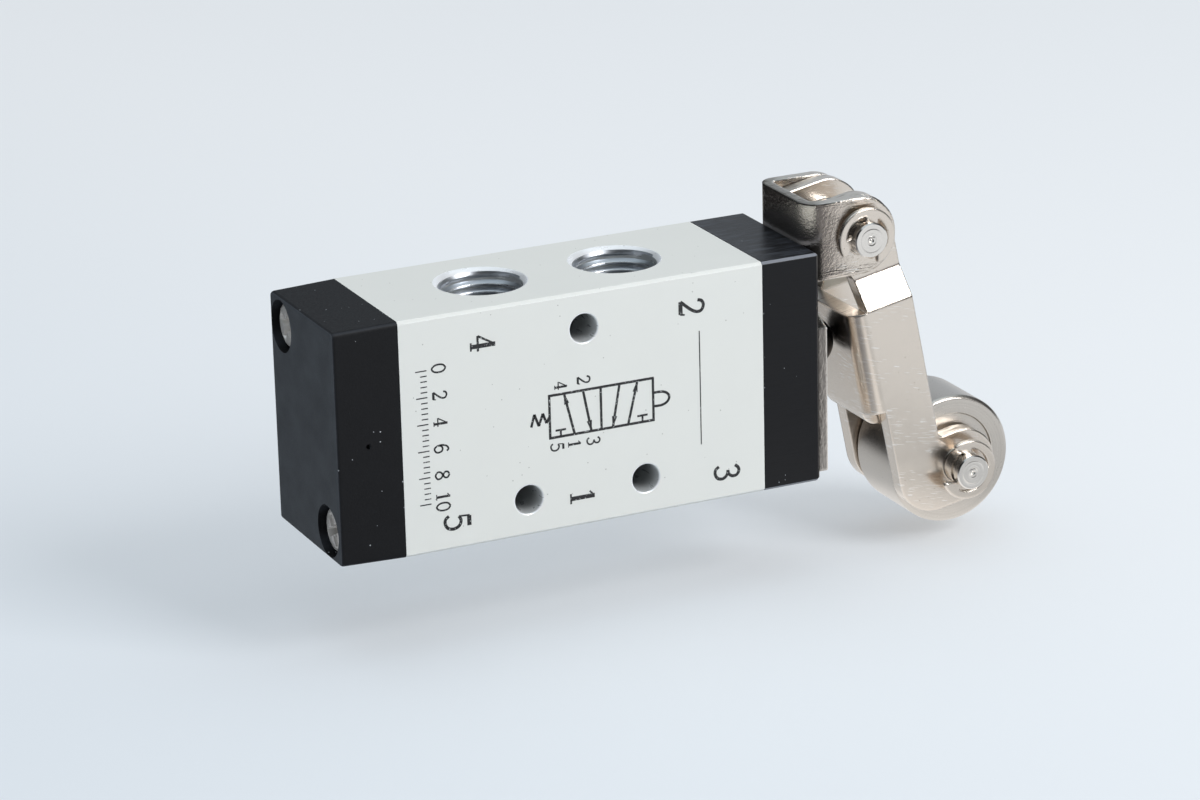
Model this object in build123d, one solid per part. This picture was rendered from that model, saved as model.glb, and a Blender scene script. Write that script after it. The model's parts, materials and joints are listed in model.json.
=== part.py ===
from build123d import *
import math
import os

# A roller lever spool valve with five ports and two positions, in millimetres.
# X runs along the valve from the spring cap to the lever, Y from its front face to its rear,
# and Z up. The origin is the centre of the rear face, which lies on a panel when it is mounted.

# Body
body_length = 43.0
body_depth = 18.0
body_height = 26.5
body_edge = 0.3

# Ports: three below and two above, all with the same thread
lower_port_pitch = 14.0
upper_port_pitch = 16.0
port_radius = 4.6
port_depth = 6.5
port_mouth_radius = 5.1
passage_radius = 1.8

# Mounting holes, which run from the front face to the rear face
mount_hole_radius = 1.6
mount_hole_height = 9.15
mount_hole_pitch = 14.0
mount_hole_chamfer = 0.12

# Spool bore, and the ring chamber at each port
bore_radius = 4.5
chamber_radius = 5.6
narrow_chamber = 3.6
wide_chamber = 4.4

# Spool
stroke = 3.0
spool_clearance = 0.06
spool_core_radius = 2.6
seal_section = 1.4
seal_land = 0.85
seal_seat_radius = 3.05
seal_clearance = 0.03
seal_wall_gap = 0.02
spool_end_gap = 0.1
spring_guide_radius = 2.0
spring_guide_length = 2.6

# Spring cap
cap_length = 7.5
cap_draft = 0.2
cap_edge = 0.5
pocket_radius = 3.8
pocket_depth = 6.0
vent_radius = 0.3

# Screws at the cap, in two opposite corners
screw_radius = 1.5
screw_hole_clearance = 0.04
cap_screw_side = 5.6
cap_screw_rise = 9.88
cap_screw_length = 9.0
pan_head_radius = 2.6
pan_head_height = 1.9
counterbore_radius = 2.9
counterbore_depth = 2.7
screw_end_room = 0.4

# Rings that seal the two ends of the body
gasket_inner_radius = 5.0
gasket_outer_radius = 6.3
gasket_thickness = 0.7
gasket_clearance = 0.03

# Return spring
spring_radius = 3.5
spring_wire = 0.8
spring_wire_sides = 8
spring_turns = 5.5
spring_gap = 0.05

# End block
block_length = 7.0
block_edge = 0.35
guide_clearance = 0.05
collar_recess = 2.0
seal_groove_place = 3.6

# Plunger
plunger_radius = 3.0
collar_radius = 4.35
collar_thickness = 1.8
plunger_gap = 0.05

# Lever bracket
bracket_sheet = 1.2
bracket_width = 12.0
bracket_bend = 2.0
cheek_radius = 4.4
cheek_setback = 0.3
plate_width = 16.8
plate_bottom = 12.5
plate_shoulder = 4.25
shoulder_rise = 1.4
plate_corner = 0.4
plunger_hole_radius = 3.6
bracket_screw_side = 5.6
bracket_screw_drop = 6.45
bracket_screw_length = 12.0
sunk_head_radius = 2.7
sunk_head_clearance = 0.05

# Pivot of the lever, from the end of the block and from the plunger's axis
pivot_reach = 7.0
pivot_rise = 13.35
lever_tilt = 11.0

# Lever, drawn upright round its pivot
lever_sheet = 1.8
ear_clearance = 0.2
lever_bend = 2.0
lever_back = 1.37
lever_front = 4.45
ear_rise = 4.25
ear_stop_gap = 0.1
ear_corner = 0.35
ear_back_drop = 1.5
ear_neck_drop = 4.9
jog_start = 5.37
jog_length = 3.5
web_end = 21.1
relief_slot = 0.2
boot_top = 26.5
boot_bottom = 35.0
boot_reach = 10.85
boot_heel_radius = 4.6
toe_roundness = 0.98

# Roller, and its pin in the lever's boot
roller_pin_reach = 6.38
roller_pin_drop = 30.58
roller_radius = 7.52
roller_side_gap = 0.3
roller_edge = 0.35
roller_recess_radius = 5.4
roller_hub_radius = 3.4
roller_recess = 0.35

# Pins and their E-clips
pin_radius = 2.0
pin_hole_clearance = 0.05
pin_chamfer = 0.1
pin_end = 1.0
pivot_front_gap = 0.6
roller_front_gap = 1.6
rear_clip_gap = 0.15
clip_thickness = 0.6
clip_radius = 3.45
clip_band = 0.95
clip_lobe_width = 1.5
clip_lobe_overlap = 0.2
clip_throat = 2.8
clip_mouth = 4.4
groove_radius = 1.6
groove_clearance = 0.04
pivot_mouth_angle = 16.0
roller_mouth_angle = 120.0

# Places that follow from the sizes above
axis_y = -body_depth / 2
cap_joint_x = -body_length / 2
block_joint_x = body_length / 2
block_end_x = block_joint_x + block_length
plate_face_x = block_end_x + bracket_sheet
pivot_x = block_end_x + pivot_reach
seal_radius = bore_radius - seal_wall_gap
screw_hole_radius = screw_radius + screw_hole_clearance
lower_ports = [-lower_port_pitch, 0.0, lower_port_pitch]
upper_ports = [-upper_port_pitch / 2, upper_port_pitch / 2]
ports_in_order = sorted(lower_ports + upper_ports)
seal_width = 2 * seal_land + seal_section
ear_half = bracket_width / 2 - bracket_sheet - ear_clearance
fork_half = ear_half + lever_sheet
web_face = lever_back + lever_bend


def ring(inner_radius, outer_radius, start_x, end_x):
    """A ring or a disc round the valve's axis, from one X to another."""
    profile = Pos(start_x, 0, 0) * Rot(0, 90, 0) * Circle(outer_radius)
    if inner_radius > 0:
        profile -= Pos(start_x, 0, 0) * Rot(0, 90, 0) * Circle(inner_radius)
    return Pos(0, axis_y, 0) * extrude(profile, end_x - start_x, dir=(1, 0, 0))


def along_x(radius, start_x, end_x, y, z):
    """A round bar along X at a given place across the valve."""
    return Pos(0, y - axis_y, z) * ring(0, radius, start_x, end_x)


def along_y(radius, x, z):
    """A round bar through the whole depth of the body."""
    start = Plane(origin=(x, 1, z), z_dir=(0, -1, 0))
    return extrude(start * Circle(radius), body_depth + 2)


def seal_places():
    """The middle of each spool ring at rest, from the ports that it parts."""
    middles = [(a + b) / 2 for a, b in zip(ports_in_order, ports_in_order[1:])]
    inner = [middles[0] + stroke, middles[1], middles[2] + stroke, middles[3]]
    last = block_joint_x - spool_end_gap - seal_width / 2
    first = cap_joint_x + spool_end_gap + stroke + seal_width / 2
    return [first] + inner + [last]


def cap_screw_places():
    """Rear top corner and front bottom corner."""
    return [(axis_y + cap_screw_side, cap_screw_rise), (axis_y - cap_screw_side, -cap_screw_rise)]


def bracket_screw_places():
    """One each side of the plunger, below it."""
    return [(axis_y + side * bracket_screw_side, -bracket_screw_drop) for side in (-1, 1)]


def port(x, upwards):
    """A port's drilling: the tapped bore, its bevelled mouth and the passage to the spool bore."""
    mouth_depth = port_mouth_radius - port_radius
    face = body_height / 2
    drilling = Pos(x, axis_y, face - port_depth / 2) * Cylinder(port_radius, port_depth)
    drilling += Pos(x, axis_y, face - mouth_depth / 2) * Cone(port_radius, port_mouth_radius, mouth_depth)
    drilling += Pos(x, axis_y, face / 2) * Cylinder(passage_radius, face)
    if upwards:
        return drilling
    return mirror(drilling, Plane.XY)


def chamber_width(x):
    """The outer two chambers are the narrow ones."""
    if x in (ports_in_order[0], ports_in_order[-1]):
        return narrow_chamber
    return wide_chamber


def mount_holes():
    """The three holes, each with its place along X and its height."""
    half = mount_hole_pitch / 2
    return [(0, mount_hole_height), (-half, -mount_hole_height), (half, -mount_hole_height)]


def body():
    """The aluminium bar with its stepped bore, ports and holes."""
    bar = Pos(0, axis_y, 0) * Box(body_length, body_depth, body_height)
    bar = chamfer(bar.edges().filter_by(Axis.X), body_edge)
    bar -= ring(0, bore_radius, cap_joint_x, block_joint_x)
    for x in ports_in_order:
        half = chamber_width(x) / 2
        bar -= ring(0, chamber_radius, x - half, x + half)
    for x in upper_ports:
        bar -= port(x, True)
    for x in lower_ports:
        bar -= port(x, False)
    for x, z in mount_holes():
        bar -= along_y(mount_hole_radius, x, z)
        for face_y, side in ((0, 1), (-body_depth, -1)):
            bevel = Cone(mount_hole_radius, mount_hole_radius + mount_hole_chamfer, mount_hole_chamfer)
            bevel = Rot(-90 * side, 0, 0) * bevel
            bar -= Pos(x, face_y - side * mount_hole_chamfer / 2, z) * bevel
    grip = cap_screw_length - (cap_length - counterbore_depth)
    for y, z in cap_screw_places():
        bar -= along_x(screw_hole_radius, cap_joint_x, cap_joint_x + grip + screw_end_room, y, z)
    grip = bracket_screw_length - bracket_sheet - block_length
    for y, z in bracket_screw_places():
        bar -= along_x(screw_hole_radius, block_joint_x - grip - screw_end_room, block_joint_x, y, z)
    return bar


def spool():
    """The turned spool: a land each side of every ring, thin waists between, and a spring guide."""
    places = seal_places()
    start = places[0] - seal_width / 2
    end = places[-1] + seal_width / 2
    land_radius = bore_radius - spool_clearance
    shaft = ring(0, spool_core_radius, start, end)
    for x in places:
        shaft += ring(0, land_radius, x - seal_width / 2, x + seal_width / 2)
        shaft -= ring(seal_seat_radius, land_radius + 1, x - seal_section / 2, x + seal_section / 2)
    shaft += ring(0, spring_guide_radius, start - spring_guide_length, start)
    tip = shaft.edges().filter_by(GeomType.CIRCLE).sort_by(Axis.X)[0]
    return chamfer(tip, spring_guide_radius / 4)


def seal_ring(inner_radius, outer_radius, middle_x, width):
    """A rubber ring with rounded shoulders, between its seat and the wall that it seals."""
    shape = ring(inner_radius, outer_radius, middle_x - width / 2, middle_x + width / 2)
    shoulders = shape.edges().filter_by(GeomType.CIRCLE).sort_by(SortBy.LENGTH)[-2:]
    return chamfer(shoulders, width / 4)


def spool_seal(x):
    """One ring on the spool."""
    return seal_ring(seal_seat_radius + seal_clearance, seal_radius, x, seal_section - 2 * seal_clearance)


def spring_cap():
    """The moulded cap, which tapers a little to its outer end."""
    wide = Pos(cap_joint_x, axis_y, 0) * Rot(0, -90, 0) * Rectangle(body_height, body_depth)
    narrow_size = (body_height - 2 * cap_draft, body_depth - 2 * cap_draft)
    narrow = Pos(cap_joint_x - cap_length, axis_y, 0) * Rot(0, -90, 0) * Rectangle(*narrow_size)
    cap = loft([wide, narrow])
    end_face = cap.faces().sort_by(Axis.X)[0]
    joint_edges = cap.faces().sort_by(Axis.X)[-1].edges()
    long_edges = [edge for edge in cap.edges() if edge not in end_face.edges() and edge not in joint_edges]
    cap = fillet(end_face.edges() + long_edges, cap_edge)
    cap -= ring(0, pocket_radius, cap_joint_x - pocket_depth, cap_joint_x)
    cap -= ring(gasket_inner_radius, gasket_outer_radius, cap_joint_x - gasket_thickness, cap_joint_x)
    for y, z in cap_screw_places():
        outside = cap_joint_x - cap_length
        cap -= along_x(counterbore_radius, outside, outside + counterbore_depth, y, z)
        cap -= along_x(screw_hole_radius, outside, cap_joint_x, y, z)
    vent = Plane(origin=(cap_joint_x - cap_length / 2, -body_depth, 0), z_dir=(0, 1, 0)) * Circle(vent_radius)
    return cap - extrude(vent, body_depth / 2)


def cap_screws():
    """Two pan head screws, seated at the bottom of the cap's counterbores."""
    seat_x = cap_joint_x - cap_length + counterbore_depth
    screws = []
    for y, z in cap_screw_places():
        head = along_x(pan_head_radius, seat_x - pan_head_height, seat_x, y, z)
        head = fillet(head.edges().filter_by(GeomType.CIRCLE).sort_by(Axis.X)[0], pan_head_height / 3)
        screws.append(head + along_x(screw_radius, seat_x, seat_x + cap_screw_length, y, z))
    return Compound(screws)


def gasket(joint_x, outward):
    """The ring in the end piece's recess, against the body's end face."""
    far = joint_x + outward * (gasket_thickness - gasket_clearance)
    inner = gasket_inner_radius + gasket_clearance
    return ring(inner, gasket_outer_radius - gasket_clearance, min(joint_x, far), max(joint_x, far))


def return_spring():
    """The coil spring from the bottom of the cap's pocket to the spool's first land.

    Its wire has eight sides, because a round wire along a helix takes half of the whole part's faces.
    """
    wire_radius = spring_wire / 2
    start = cap_joint_x - pocket_depth + spring_gap + wire_radius
    end = seal_places()[0] - seal_width / 2 - spring_gap - wire_radius
    length = end - start
    mean_radius = spring_radius - wire_radius
    path = Helix(length / spring_turns, length, mean_radius)
    wire = Plane(origin=path @ 0, z_dir=path % 0) * RegularPolygon(wire_radius, spring_wire_sides)
    coil = sweep(wire, path, is_frenet=True)
    return Pos(start, axis_y, 0) * Rot(0, 90, 0) * coil


def end_block():
    """The anodised block that guides the plunger and carries the bracket."""
    middle_x = block_joint_x + block_length / 2
    block = Pos(middle_x, axis_y, 0) * Box(block_length, body_depth, body_height)
    outer_edges = block.faces().sort_by(Axis.X)[-1].edges() + block.edges().filter_by(Axis.X)
    block = chamfer(outer_edges, block_edge)
    block -= ring(0, plunger_radius + guide_clearance, block_joint_x, block_end_x)
    block -= ring(0, bore_radius, block_joint_x, block_joint_x + collar_recess)
    groove_x = block_joint_x + seal_groove_place
    block -= ring(0, bore_radius, groove_x, groove_x + seal_section)
    block -= ring(gasket_inner_radius, gasket_outer_radius, block_joint_x, block_joint_x + gasket_thickness)
    for y, z in bracket_screw_places():
        block -= along_x(screw_hole_radius, block_joint_x, block_end_x, y, z)
    return block


def plunger_seal():
    """The rubber ring in the block's groove, round the plunger."""
    middle = block_joint_x + seal_groove_place + seal_section / 2
    inner = plunger_radius + seal_wall_gap
    return seal_ring(inner, bore_radius - seal_clearance, middle, seal_section - 2 * seal_clearance)


def dome_centre_x():
    """Where the plunger's round end touches the back of the tilted lever."""
    tilt = math.radians(lever_tilt)
    reach = web_face + plunger_radius + plunger_gap
    return pivot_x + (pivot_rise * math.sin(tilt) - reach) / math.cos(tilt)


def plunger():
    """The rod with its round end and the collar that keeps it in the block."""
    start = block_joint_x + plunger_gap
    centre_x = dome_centre_x()
    rod = ring(0, plunger_radius, start, centre_x)
    rod += ring(0, collar_radius, start, start + collar_thickness)
    return rod + Pos(centre_x, axis_y, 0) * Sphere(plunger_radius)


def bent_channel(half_width, sheet, bend, back_x, front_x, low_z, high_z):
    """A folded sheet with its web facing -X and a cheek along each side, round Y = 0."""
    middle_x = (back_x + front_x) / 2
    height = high_z - low_z
    block = Pos(middle_x, 0, low_z + height / 2) * Box(front_x - back_x, 2 * half_width, height)
    back_edges = block.edges().filter_by(Axis.Z).sort_by(Axis.X)[:2]
    block = fillet(back_edges, bend)
    inner_half = half_width - sheet
    hollow = Pos(middle_x + sheet, 0, low_z + height / 2) * Box(front_x - back_x, 2 * inner_half, height)
    inner_edges = hollow.edges().filter_by(Axis.Z).sort_by(Axis.X)[:2]
    return block - fillet(inner_edges, bend - sheet)


def bracket_plate():
    """The flat plate on the block, with sloping shoulders under the narrow web."""
    half_plate = plate_width / 2
    half_web = bracket_width / 2
    outline = Polyline(
        (-half_plate, -plate_bottom),
        (half_plate, -plate_bottom),
        (half_plate, plate_shoulder),
        (half_web, plate_shoulder + shoulder_rise),
        (half_web, pivot_rise - cheek_radius),
        (-half_web, pivot_rise - cheek_radius),
        (-half_web, plate_shoulder + shoulder_rise),
        (-half_plate, plate_shoulder),
        close=True,
    )
    face = make_face(outline)
    face = fillet(face.vertices().sort_by(Axis.Y)[:2], plate_corner)
    plate = extrude(Plane.YZ * face, bracket_sheet)
    plate -= extrude(Plane.YZ * Circle(plunger_hole_radius), bracket_sheet)
    return plate


def lever_bracket():
    """The stamped bracket: plate, web and two cheeks with round noses at the pivot."""
    low_z = pivot_rise - cheek_radius
    high_z = pivot_rise + cheek_radius
    nose_middle = pivot_reach - cheek_setback
    half = bracket_width / 2
    nose_x = nose_middle + cheek_radius
    channel = bent_channel(half, bracket_sheet, bracket_bend, 0, nose_x, low_z, high_z)
    outline = Pos(nose_middle / 2, pivot_rise) * Rectangle(nose_middle, 2 * cheek_radius)
    outline += Pos(nose_middle, pivot_rise) * Circle(cheek_radius)
    outline -= Pos(pivot_reach, pivot_rise) * Circle(pin_radius + pin_hole_clearance)
    cheeks = channel & extrude(Plane.XZ * outline, half, both=True)
    shape = Pos(block_end_x, axis_y, 0) * (cheeks + bracket_plate())
    for y, z in bracket_screw_places():
        sink = sunk_head_radius + sunk_head_clearance - screw_hole_radius
        hole = along_x(screw_hole_radius, block_end_x, plate_face_x, y, z)
        cone = Rot(0, 90, 0) * Cone(screw_hole_radius, sunk_head_radius + sunk_head_clearance, sink)
        shape -= hole + Pos(plate_face_x - sink / 2, y, z) * cone
    return shape


def bracket_screws():
    """Two countersunk screws through plate and block into the body."""
    sink = sunk_head_radius - screw_radius
    screws = []
    for y, z in bracket_screw_places():
        tip_x = plate_face_x - bracket_screw_length
        shank = along_x(screw_radius, tip_x, plate_face_x, y, z)
        head = Rot(0, 90, 0) * Cone(screw_radius, sunk_head_radius, sink)
        screws.append(shank + Pos(plate_face_x - sink / 2, y, z) * head)
    return Compound(screws)


def lever_strip():
    """One cheek seen from the front: a straight ear, a jog outwards and the straight fork."""
    lean = math.atan2(lever_sheet, jog_length)
    step = lever_sheet * math.tan(lean / 2)
    jog_end = jog_start + jog_length
    outline = Polyline(
        (ear_half, ear_rise),
        (ear_half, -jog_start),
        (fork_half, -jog_end),
        (fork_half, -boot_bottom),
        (fork_half - lever_sheet, -boot_bottom),
        (fork_half - lever_sheet, -jog_end - step),
        (ear_half - lever_sheet, -jog_start - step),
        (ear_half - lever_sheet, ear_rise),
        close=True,
    )
    face = make_face(outline)
    corners = [v for v in face.vertices() if -jog_end - 2 * step < v.Y < -jog_start + step]
    face = fillet(corners, lever_sheet / 2)
    return extrude(Plane.YZ * face, 2 * boot_reach, both=True)


def bend_room():
    """How far the round inside of the bracket's bend holds an ear off its web."""
    inner = bracket_bend - bracket_sheet
    if ear_clearance > inner:
        return 0
    return inner - math.sqrt(inner ** 2 - (inner - ear_clearance) ** 2)


def ear_back():
    """How far an ear reaches back, to stop against the inside of the bracket at rest."""
    tilt = math.radians(lever_tilt)
    room = pivot_reach - bracket_sheet - bend_room() - ear_stop_gap
    return (room - ear_rise * math.sin(tilt)) / math.cos(tilt)


def lever_outline():
    """The cheek seen from the side: ear, arm and boot, with its two pin holes."""
    outline = Polyline(
        (-ear_back(), ear_rise),
        (lever_front, ear_rise),
        (lever_front, -boot_top),
        (boot_reach, -boot_top),
        (boot_reach, -boot_bottom),
        (-lever_back, -boot_bottom),
        (-lever_back, -ear_neck_drop),
        (-ear_back(), -ear_back_drop),
        close=True,
    )
    face = make_face(outline)
    toe_radius = toe_roundness * (boot_bottom - boot_top) / 2
    rounds = [
        ((-ear_back(), ear_rise), ear_corner),
        ((lever_front, ear_rise), ear_rise),
        ((lever_front, -boot_top), lever_sheet / 3),
        ((boot_reach, -boot_top), toe_radius),
        ((boot_reach, -boot_bottom), toe_radius),
        ((-lever_back, -boot_bottom), boot_heel_radius),
        ((-lever_back, -ear_neck_drop), lever_sheet),
        ((-ear_back(), -ear_back_drop), lever_sheet),
    ]
    for place, radius in rounds:
        corner = face.vertices().sort_by_distance((place[0], place[1], 0))[0]
        face = fillet(corner, radius)
    face -= Circle(pin_radius + pin_hole_clearance)
    face -= Pos(roller_pin_reach, -roller_pin_drop) * Circle(pin_radius + pin_hole_clearance)
    return face


def roller_lever():
    """The stamped lever: two jogged cheeks, the web between them and its curled end."""
    strips = lever_strip() + mirror(lever_strip(), Plane.XZ)
    cheeks = strips & extrude(Plane.XZ * lever_outline(), fork_half + 1, both=True)
    web_top = jog_start + jog_length
    channel = bent_channel(fork_half, lever_sheet, lever_bend, -web_face, lever_front, -web_end, -web_top)
    web = channel & Pos(-web_face, 0, 0) * Box(2 * lever_bend, 2 * fork_half, 2 * web_end)
    curl = Pos(-lever_back, -web_end) * (Circle(lever_bend) - Circle(lever_bend - lever_sheet))
    quarter = Pos(-lever_back - lever_bend / 2, -web_end - lever_bend / 2) * Rectangle(lever_bend, lever_bend)
    lip = extrude(Plane.XZ * (curl & quarter), fork_half - lever_bend - relief_slot, both=True)
    return place_on_lever(cheeks + web + lip)


def place_on_lever(shape):
    """Tilts a shape that is drawn upright round the pivot, and puts it at the pivot."""
    return Pos(pivot_x, axis_y, pivot_rise) * Rot(0, -lever_tilt, 0) * shape


def grooved_pin(front_face, front_gap, rear_face):
    """A pin along Y with a clip groove near each end; the faces are those that the clips hold."""
    front_groove = front_face - front_gap - clip_thickness
    rear_groove = rear_face + rear_clip_gap
    start = front_groove - pin_end
    end = rear_groove + clip_thickness + pin_end
    pin = extrude(Plane(origin=(0, start, 0), z_dir=(0, 1, 0)) * Circle(pin_radius), end - start)
    pin = chamfer(pin.edges().filter_by(GeomType.CIRCLE), pin_chamfer)
    width = clip_thickness + 2 * groove_clearance
    for groove in (front_groove, rear_groove):
        start_plane = Plane(origin=(0, groove - groove_clearance, 0), z_dir=(0, 1, 0))
        pin -= extrude(start_plane * (Circle(pin_radius + 1) - Circle(groove_radius)), width)
    return pin


def e_clip(front_y, mouth_angle):
    """One E-clip across a pin along Y, with three lobes; its mouth points down before it is turned."""
    inner = clip_radius - clip_band
    seat = groove_radius + groove_clearance
    lobe_end = inner + clip_lobe_overlap
    lobe = Pos(lobe_end / 2, 0) * Rectangle(lobe_end, clip_lobe_width)
    profile = Circle(clip_radius) - Circle(inner)
    for angle in (-30, 90, 210):
        profile += Rot(0, 0, angle) * lobe
    profile -= Circle(seat)
    mouth = Polyline(
        (-clip_throat / 2, 0),
        (clip_throat / 2, 0),
        (clip_mouth / 2, -clip_radius),
        (-clip_mouth / 2, -clip_radius),
        close=True,
    )
    profile -= make_face(mouth)
    mouth_corners = [v for v in profile.vertices() if math.hypot(v.X, v.Y) > clip_radius - clip_band / 4]
    profile = fillet(mouth_corners, clip_band / 3)
    clip = extrude(Plane.XZ * profile, -clip_thickness)
    return Pos(0, front_y, 0) * Rot(0, mouth_angle, 0) * clip


def clip_pair(front_face, front_gap, rear_face, mouth_angle):
    """The two clips of one pin."""
    front = e_clip(front_face - front_gap - clip_thickness, mouth_angle)
    rear = e_clip(rear_face + rear_clip_gap, mouth_angle)
    return [front, rear]


def at_roller(shape):
    """Puts a shape that is drawn round the roller pin into the lever's own drawing."""
    return Pos(roller_pin_reach, 0, -roller_pin_drop) * shape


def roller():
    """The steel roller, with a shallow ring recess in each face round its hub."""
    half = fork_half - lever_sheet - roller_side_gap
    across = Plane(origin=(0, -half, 0), z_dir=(0, 1, 0))
    wheel = extrude(across * Circle(roller_radius), 2 * half)
    wheel = chamfer(wheel.edges().filter_by(GeomType.CIRCLE), roller_edge)
    recess = Circle(roller_recess_radius) - Circle(roller_hub_radius)
    for start in (-half, half - roller_recess):
        wheel -= extrude(Plane(origin=(0, start, 0), z_dir=(0, 1, 0)) * recess, roller_recess)
    return wheel - extrude(across * Circle(pin_radius + pin_hole_clearance), 2 * half)


def write(name, shape):
    """Writes one node."""
    export_step(shape, os.path.join("parts", name + ".step"))


def main():
    os.makedirs("parts", exist_ok=True)
    write("body", body())
    write("spring_cap", spring_cap())
    write("cap_screws", cap_screws())
    write("cap_gasket", gasket(cap_joint_x, -1))
    write("return_spring", return_spring())
    write("spool", spool())
    for number, x in enumerate(seal_places(), start=1):
        write(f"spool_seal_{number}", spool_seal(x))
    write("end_block", end_block())
    write("block_gasket", gasket(block_joint_x, 1))
    write("plunger", plunger())
    write("plunger_seal", plunger_seal())
    write("lever_bracket", lever_bracket())
    write("bracket_screws", bracket_screws())
    half = bracket_width / 2
    write("pivot_pin", Pos(pivot_x, axis_y, pivot_rise) * grooved_pin(-half, pivot_front_gap, half))
    clips = clip_pair(-half, pivot_front_gap, half, pivot_mouth_angle)
    write("pivot_clips", Pos(pivot_x, axis_y, pivot_rise) * Compound(clips))
    write("roller_lever", roller_lever())
    pin = at_roller(grooved_pin(-fork_half, roller_front_gap, fork_half))
    write("roller_pin", place_on_lever(pin))
    clips = clip_pair(-fork_half, roller_front_gap, fork_half, roller_mouth_angle)
    write("roller_clips", place_on_lever(at_roller(Compound(clips))))
    write("roller", place_on_lever(at_roller(roller())))


main()
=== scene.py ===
# %% [markdown]
# # A roller lever valve
#
# This lesson dresses a packed mechanical model for its picture. The model is a small air valve:
# a pale metal body with threaded ports, a black cap at one end, a black block at the other, and a
# bent sheet metal lever with a roller. Its solids are already the right size and shape, so the
# lesson adds what they leave out: finishes, threads, screw recesses, print and light.
#
# The scene is in metres. X runs from the cap to the lever, Y from front to rear, and Z up.

# %% Load the model
import json
import math

import bmesh
import bpy
from mathutils import Matrix, Vector

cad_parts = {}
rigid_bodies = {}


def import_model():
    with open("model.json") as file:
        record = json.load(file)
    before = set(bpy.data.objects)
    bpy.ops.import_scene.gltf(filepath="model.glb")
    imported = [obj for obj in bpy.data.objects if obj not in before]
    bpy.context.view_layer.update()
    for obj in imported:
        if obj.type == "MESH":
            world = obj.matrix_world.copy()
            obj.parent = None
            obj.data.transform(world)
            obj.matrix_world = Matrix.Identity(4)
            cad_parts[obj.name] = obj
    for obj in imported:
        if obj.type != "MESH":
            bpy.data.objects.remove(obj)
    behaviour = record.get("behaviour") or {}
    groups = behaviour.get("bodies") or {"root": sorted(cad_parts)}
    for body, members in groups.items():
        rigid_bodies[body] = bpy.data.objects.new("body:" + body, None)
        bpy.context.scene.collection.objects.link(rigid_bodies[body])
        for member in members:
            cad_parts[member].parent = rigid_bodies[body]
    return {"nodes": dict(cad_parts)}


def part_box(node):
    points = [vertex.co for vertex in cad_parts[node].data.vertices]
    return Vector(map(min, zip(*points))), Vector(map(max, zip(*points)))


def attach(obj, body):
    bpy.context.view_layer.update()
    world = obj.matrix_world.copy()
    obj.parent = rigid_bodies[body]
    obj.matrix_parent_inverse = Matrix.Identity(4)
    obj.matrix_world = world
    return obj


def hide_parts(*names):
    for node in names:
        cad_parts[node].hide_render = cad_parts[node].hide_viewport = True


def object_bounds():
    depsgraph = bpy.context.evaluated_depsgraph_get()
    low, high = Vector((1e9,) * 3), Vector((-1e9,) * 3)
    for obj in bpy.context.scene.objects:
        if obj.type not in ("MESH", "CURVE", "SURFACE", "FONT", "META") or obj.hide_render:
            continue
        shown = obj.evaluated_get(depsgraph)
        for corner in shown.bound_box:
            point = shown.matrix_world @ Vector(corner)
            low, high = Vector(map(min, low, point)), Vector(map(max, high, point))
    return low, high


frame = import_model()
nodes = frame["nodes"]
cad_box = [list(corner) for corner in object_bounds()]
MM = 0.001  # metres in a millimetre
PER_METRE = 1000.0  # millimetres in a metre


def in_mm(box):
    """A box in rounded millimetres, for printing."""
    return [[round(v / MM, 2) for v in corner] for corner in box]


print("nodes:", len(nodes), "box in mm:", in_mm(cad_box))

# %% [markdown]
# ## The camera
#
# A photograph fixes where its camera stood. Eight corners of the body and cap were measured in the
# picture, and a camera was fitted so that the model's corners land on them. Blender's camera looks
# along its own -Z with +Y up, so the three directions of the fit become the columns of its matrix.

# %% Camera
CAMERA_PLACE = Vector((-192.988, -439.323, 159.976)) * MM
PICTURE_RIGHT = Vector((0.90406553, -0.42673283, -0.02376144))
PICTURE_DOWN = Vector((-0.15887591, -0.28393805, -0.94558851))
LOOK_ALONG = Vector((0.39676688, 0.8586491, -0.32449617))
PICTURE_WIDTH = 1200
FOCAL_PIXELS = 4551.96
SENSOR_WIDTH = 36.0
CLIP_START = 0.01


def add_object(name, data):
    """Put data into the scene as an object. Returns the object."""
    made = bpy.data.objects.new(name, data)
    bpy.context.scene.collection.objects.link(made)
    return made


camera_data = bpy.data.cameras.new("photo_camera")
camera_data.sensor_width = SENSOR_WIDTH
camera_data.lens = FOCAL_PIXELS / PICTURE_WIDTH * SENSOR_WIDTH
camera_data.clip_start = CLIP_START
camera = add_object("photo_camera", camera_data)
turn = Matrix((PICTURE_RIGHT, -PICTURE_DOWN, -LOOK_ALONG)).transposed()
camera.matrix_world = Matrix.Translation(CAMERA_PLACE) @ turn.to_4x4()
bpy.context.scene.camera = camera
bpy.context.scene.view_settings.view_transform = "Standard"
print("lens in mm:", round(camera_data.lens, 2))

# %% [markdown]
# ## Building materials from nodes
#
# A material is a small graph. `put` adds one node and sets or links its inputs, and `new_material`
# starts a material with its shader. A number that is the same all over goes straight on the
# shader's socket. Only what changes over the surface is a link. Sizes are given in millimetres,
# because that is how such a part is drawn.

# %% Node helpers


def feed(tree, socket, value):
    """Give a socket another node's output, a colour or a plain value."""
    if isinstance(value, bpy.types.NodeSocket):
        tree.links.new(value, socket)
    elif socket.type == "RGBA":
        socket.default_value = (*value, 1.0)
    else:
        socket.default_value = value


def put(tree, kind, inputs=None, **settings):
    """Add a node with its settings, and feed its inputs. Returns the node."""
    node = tree.nodes.new("ShaderNode" + kind)
    for name, value in settings.items():
        setattr(node, name, value)
    for name, value in (inputs or {}).items():
        feed(tree, node.inputs[name], value)
    return node


def maths(tree, operation, first, second=0.5, clamp=False):
    """One sum. Returns its output."""
    return put(tree, "Math", {0: first, 1: second}, operation=operation, use_clamp=clamp).outputs[0]


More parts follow.
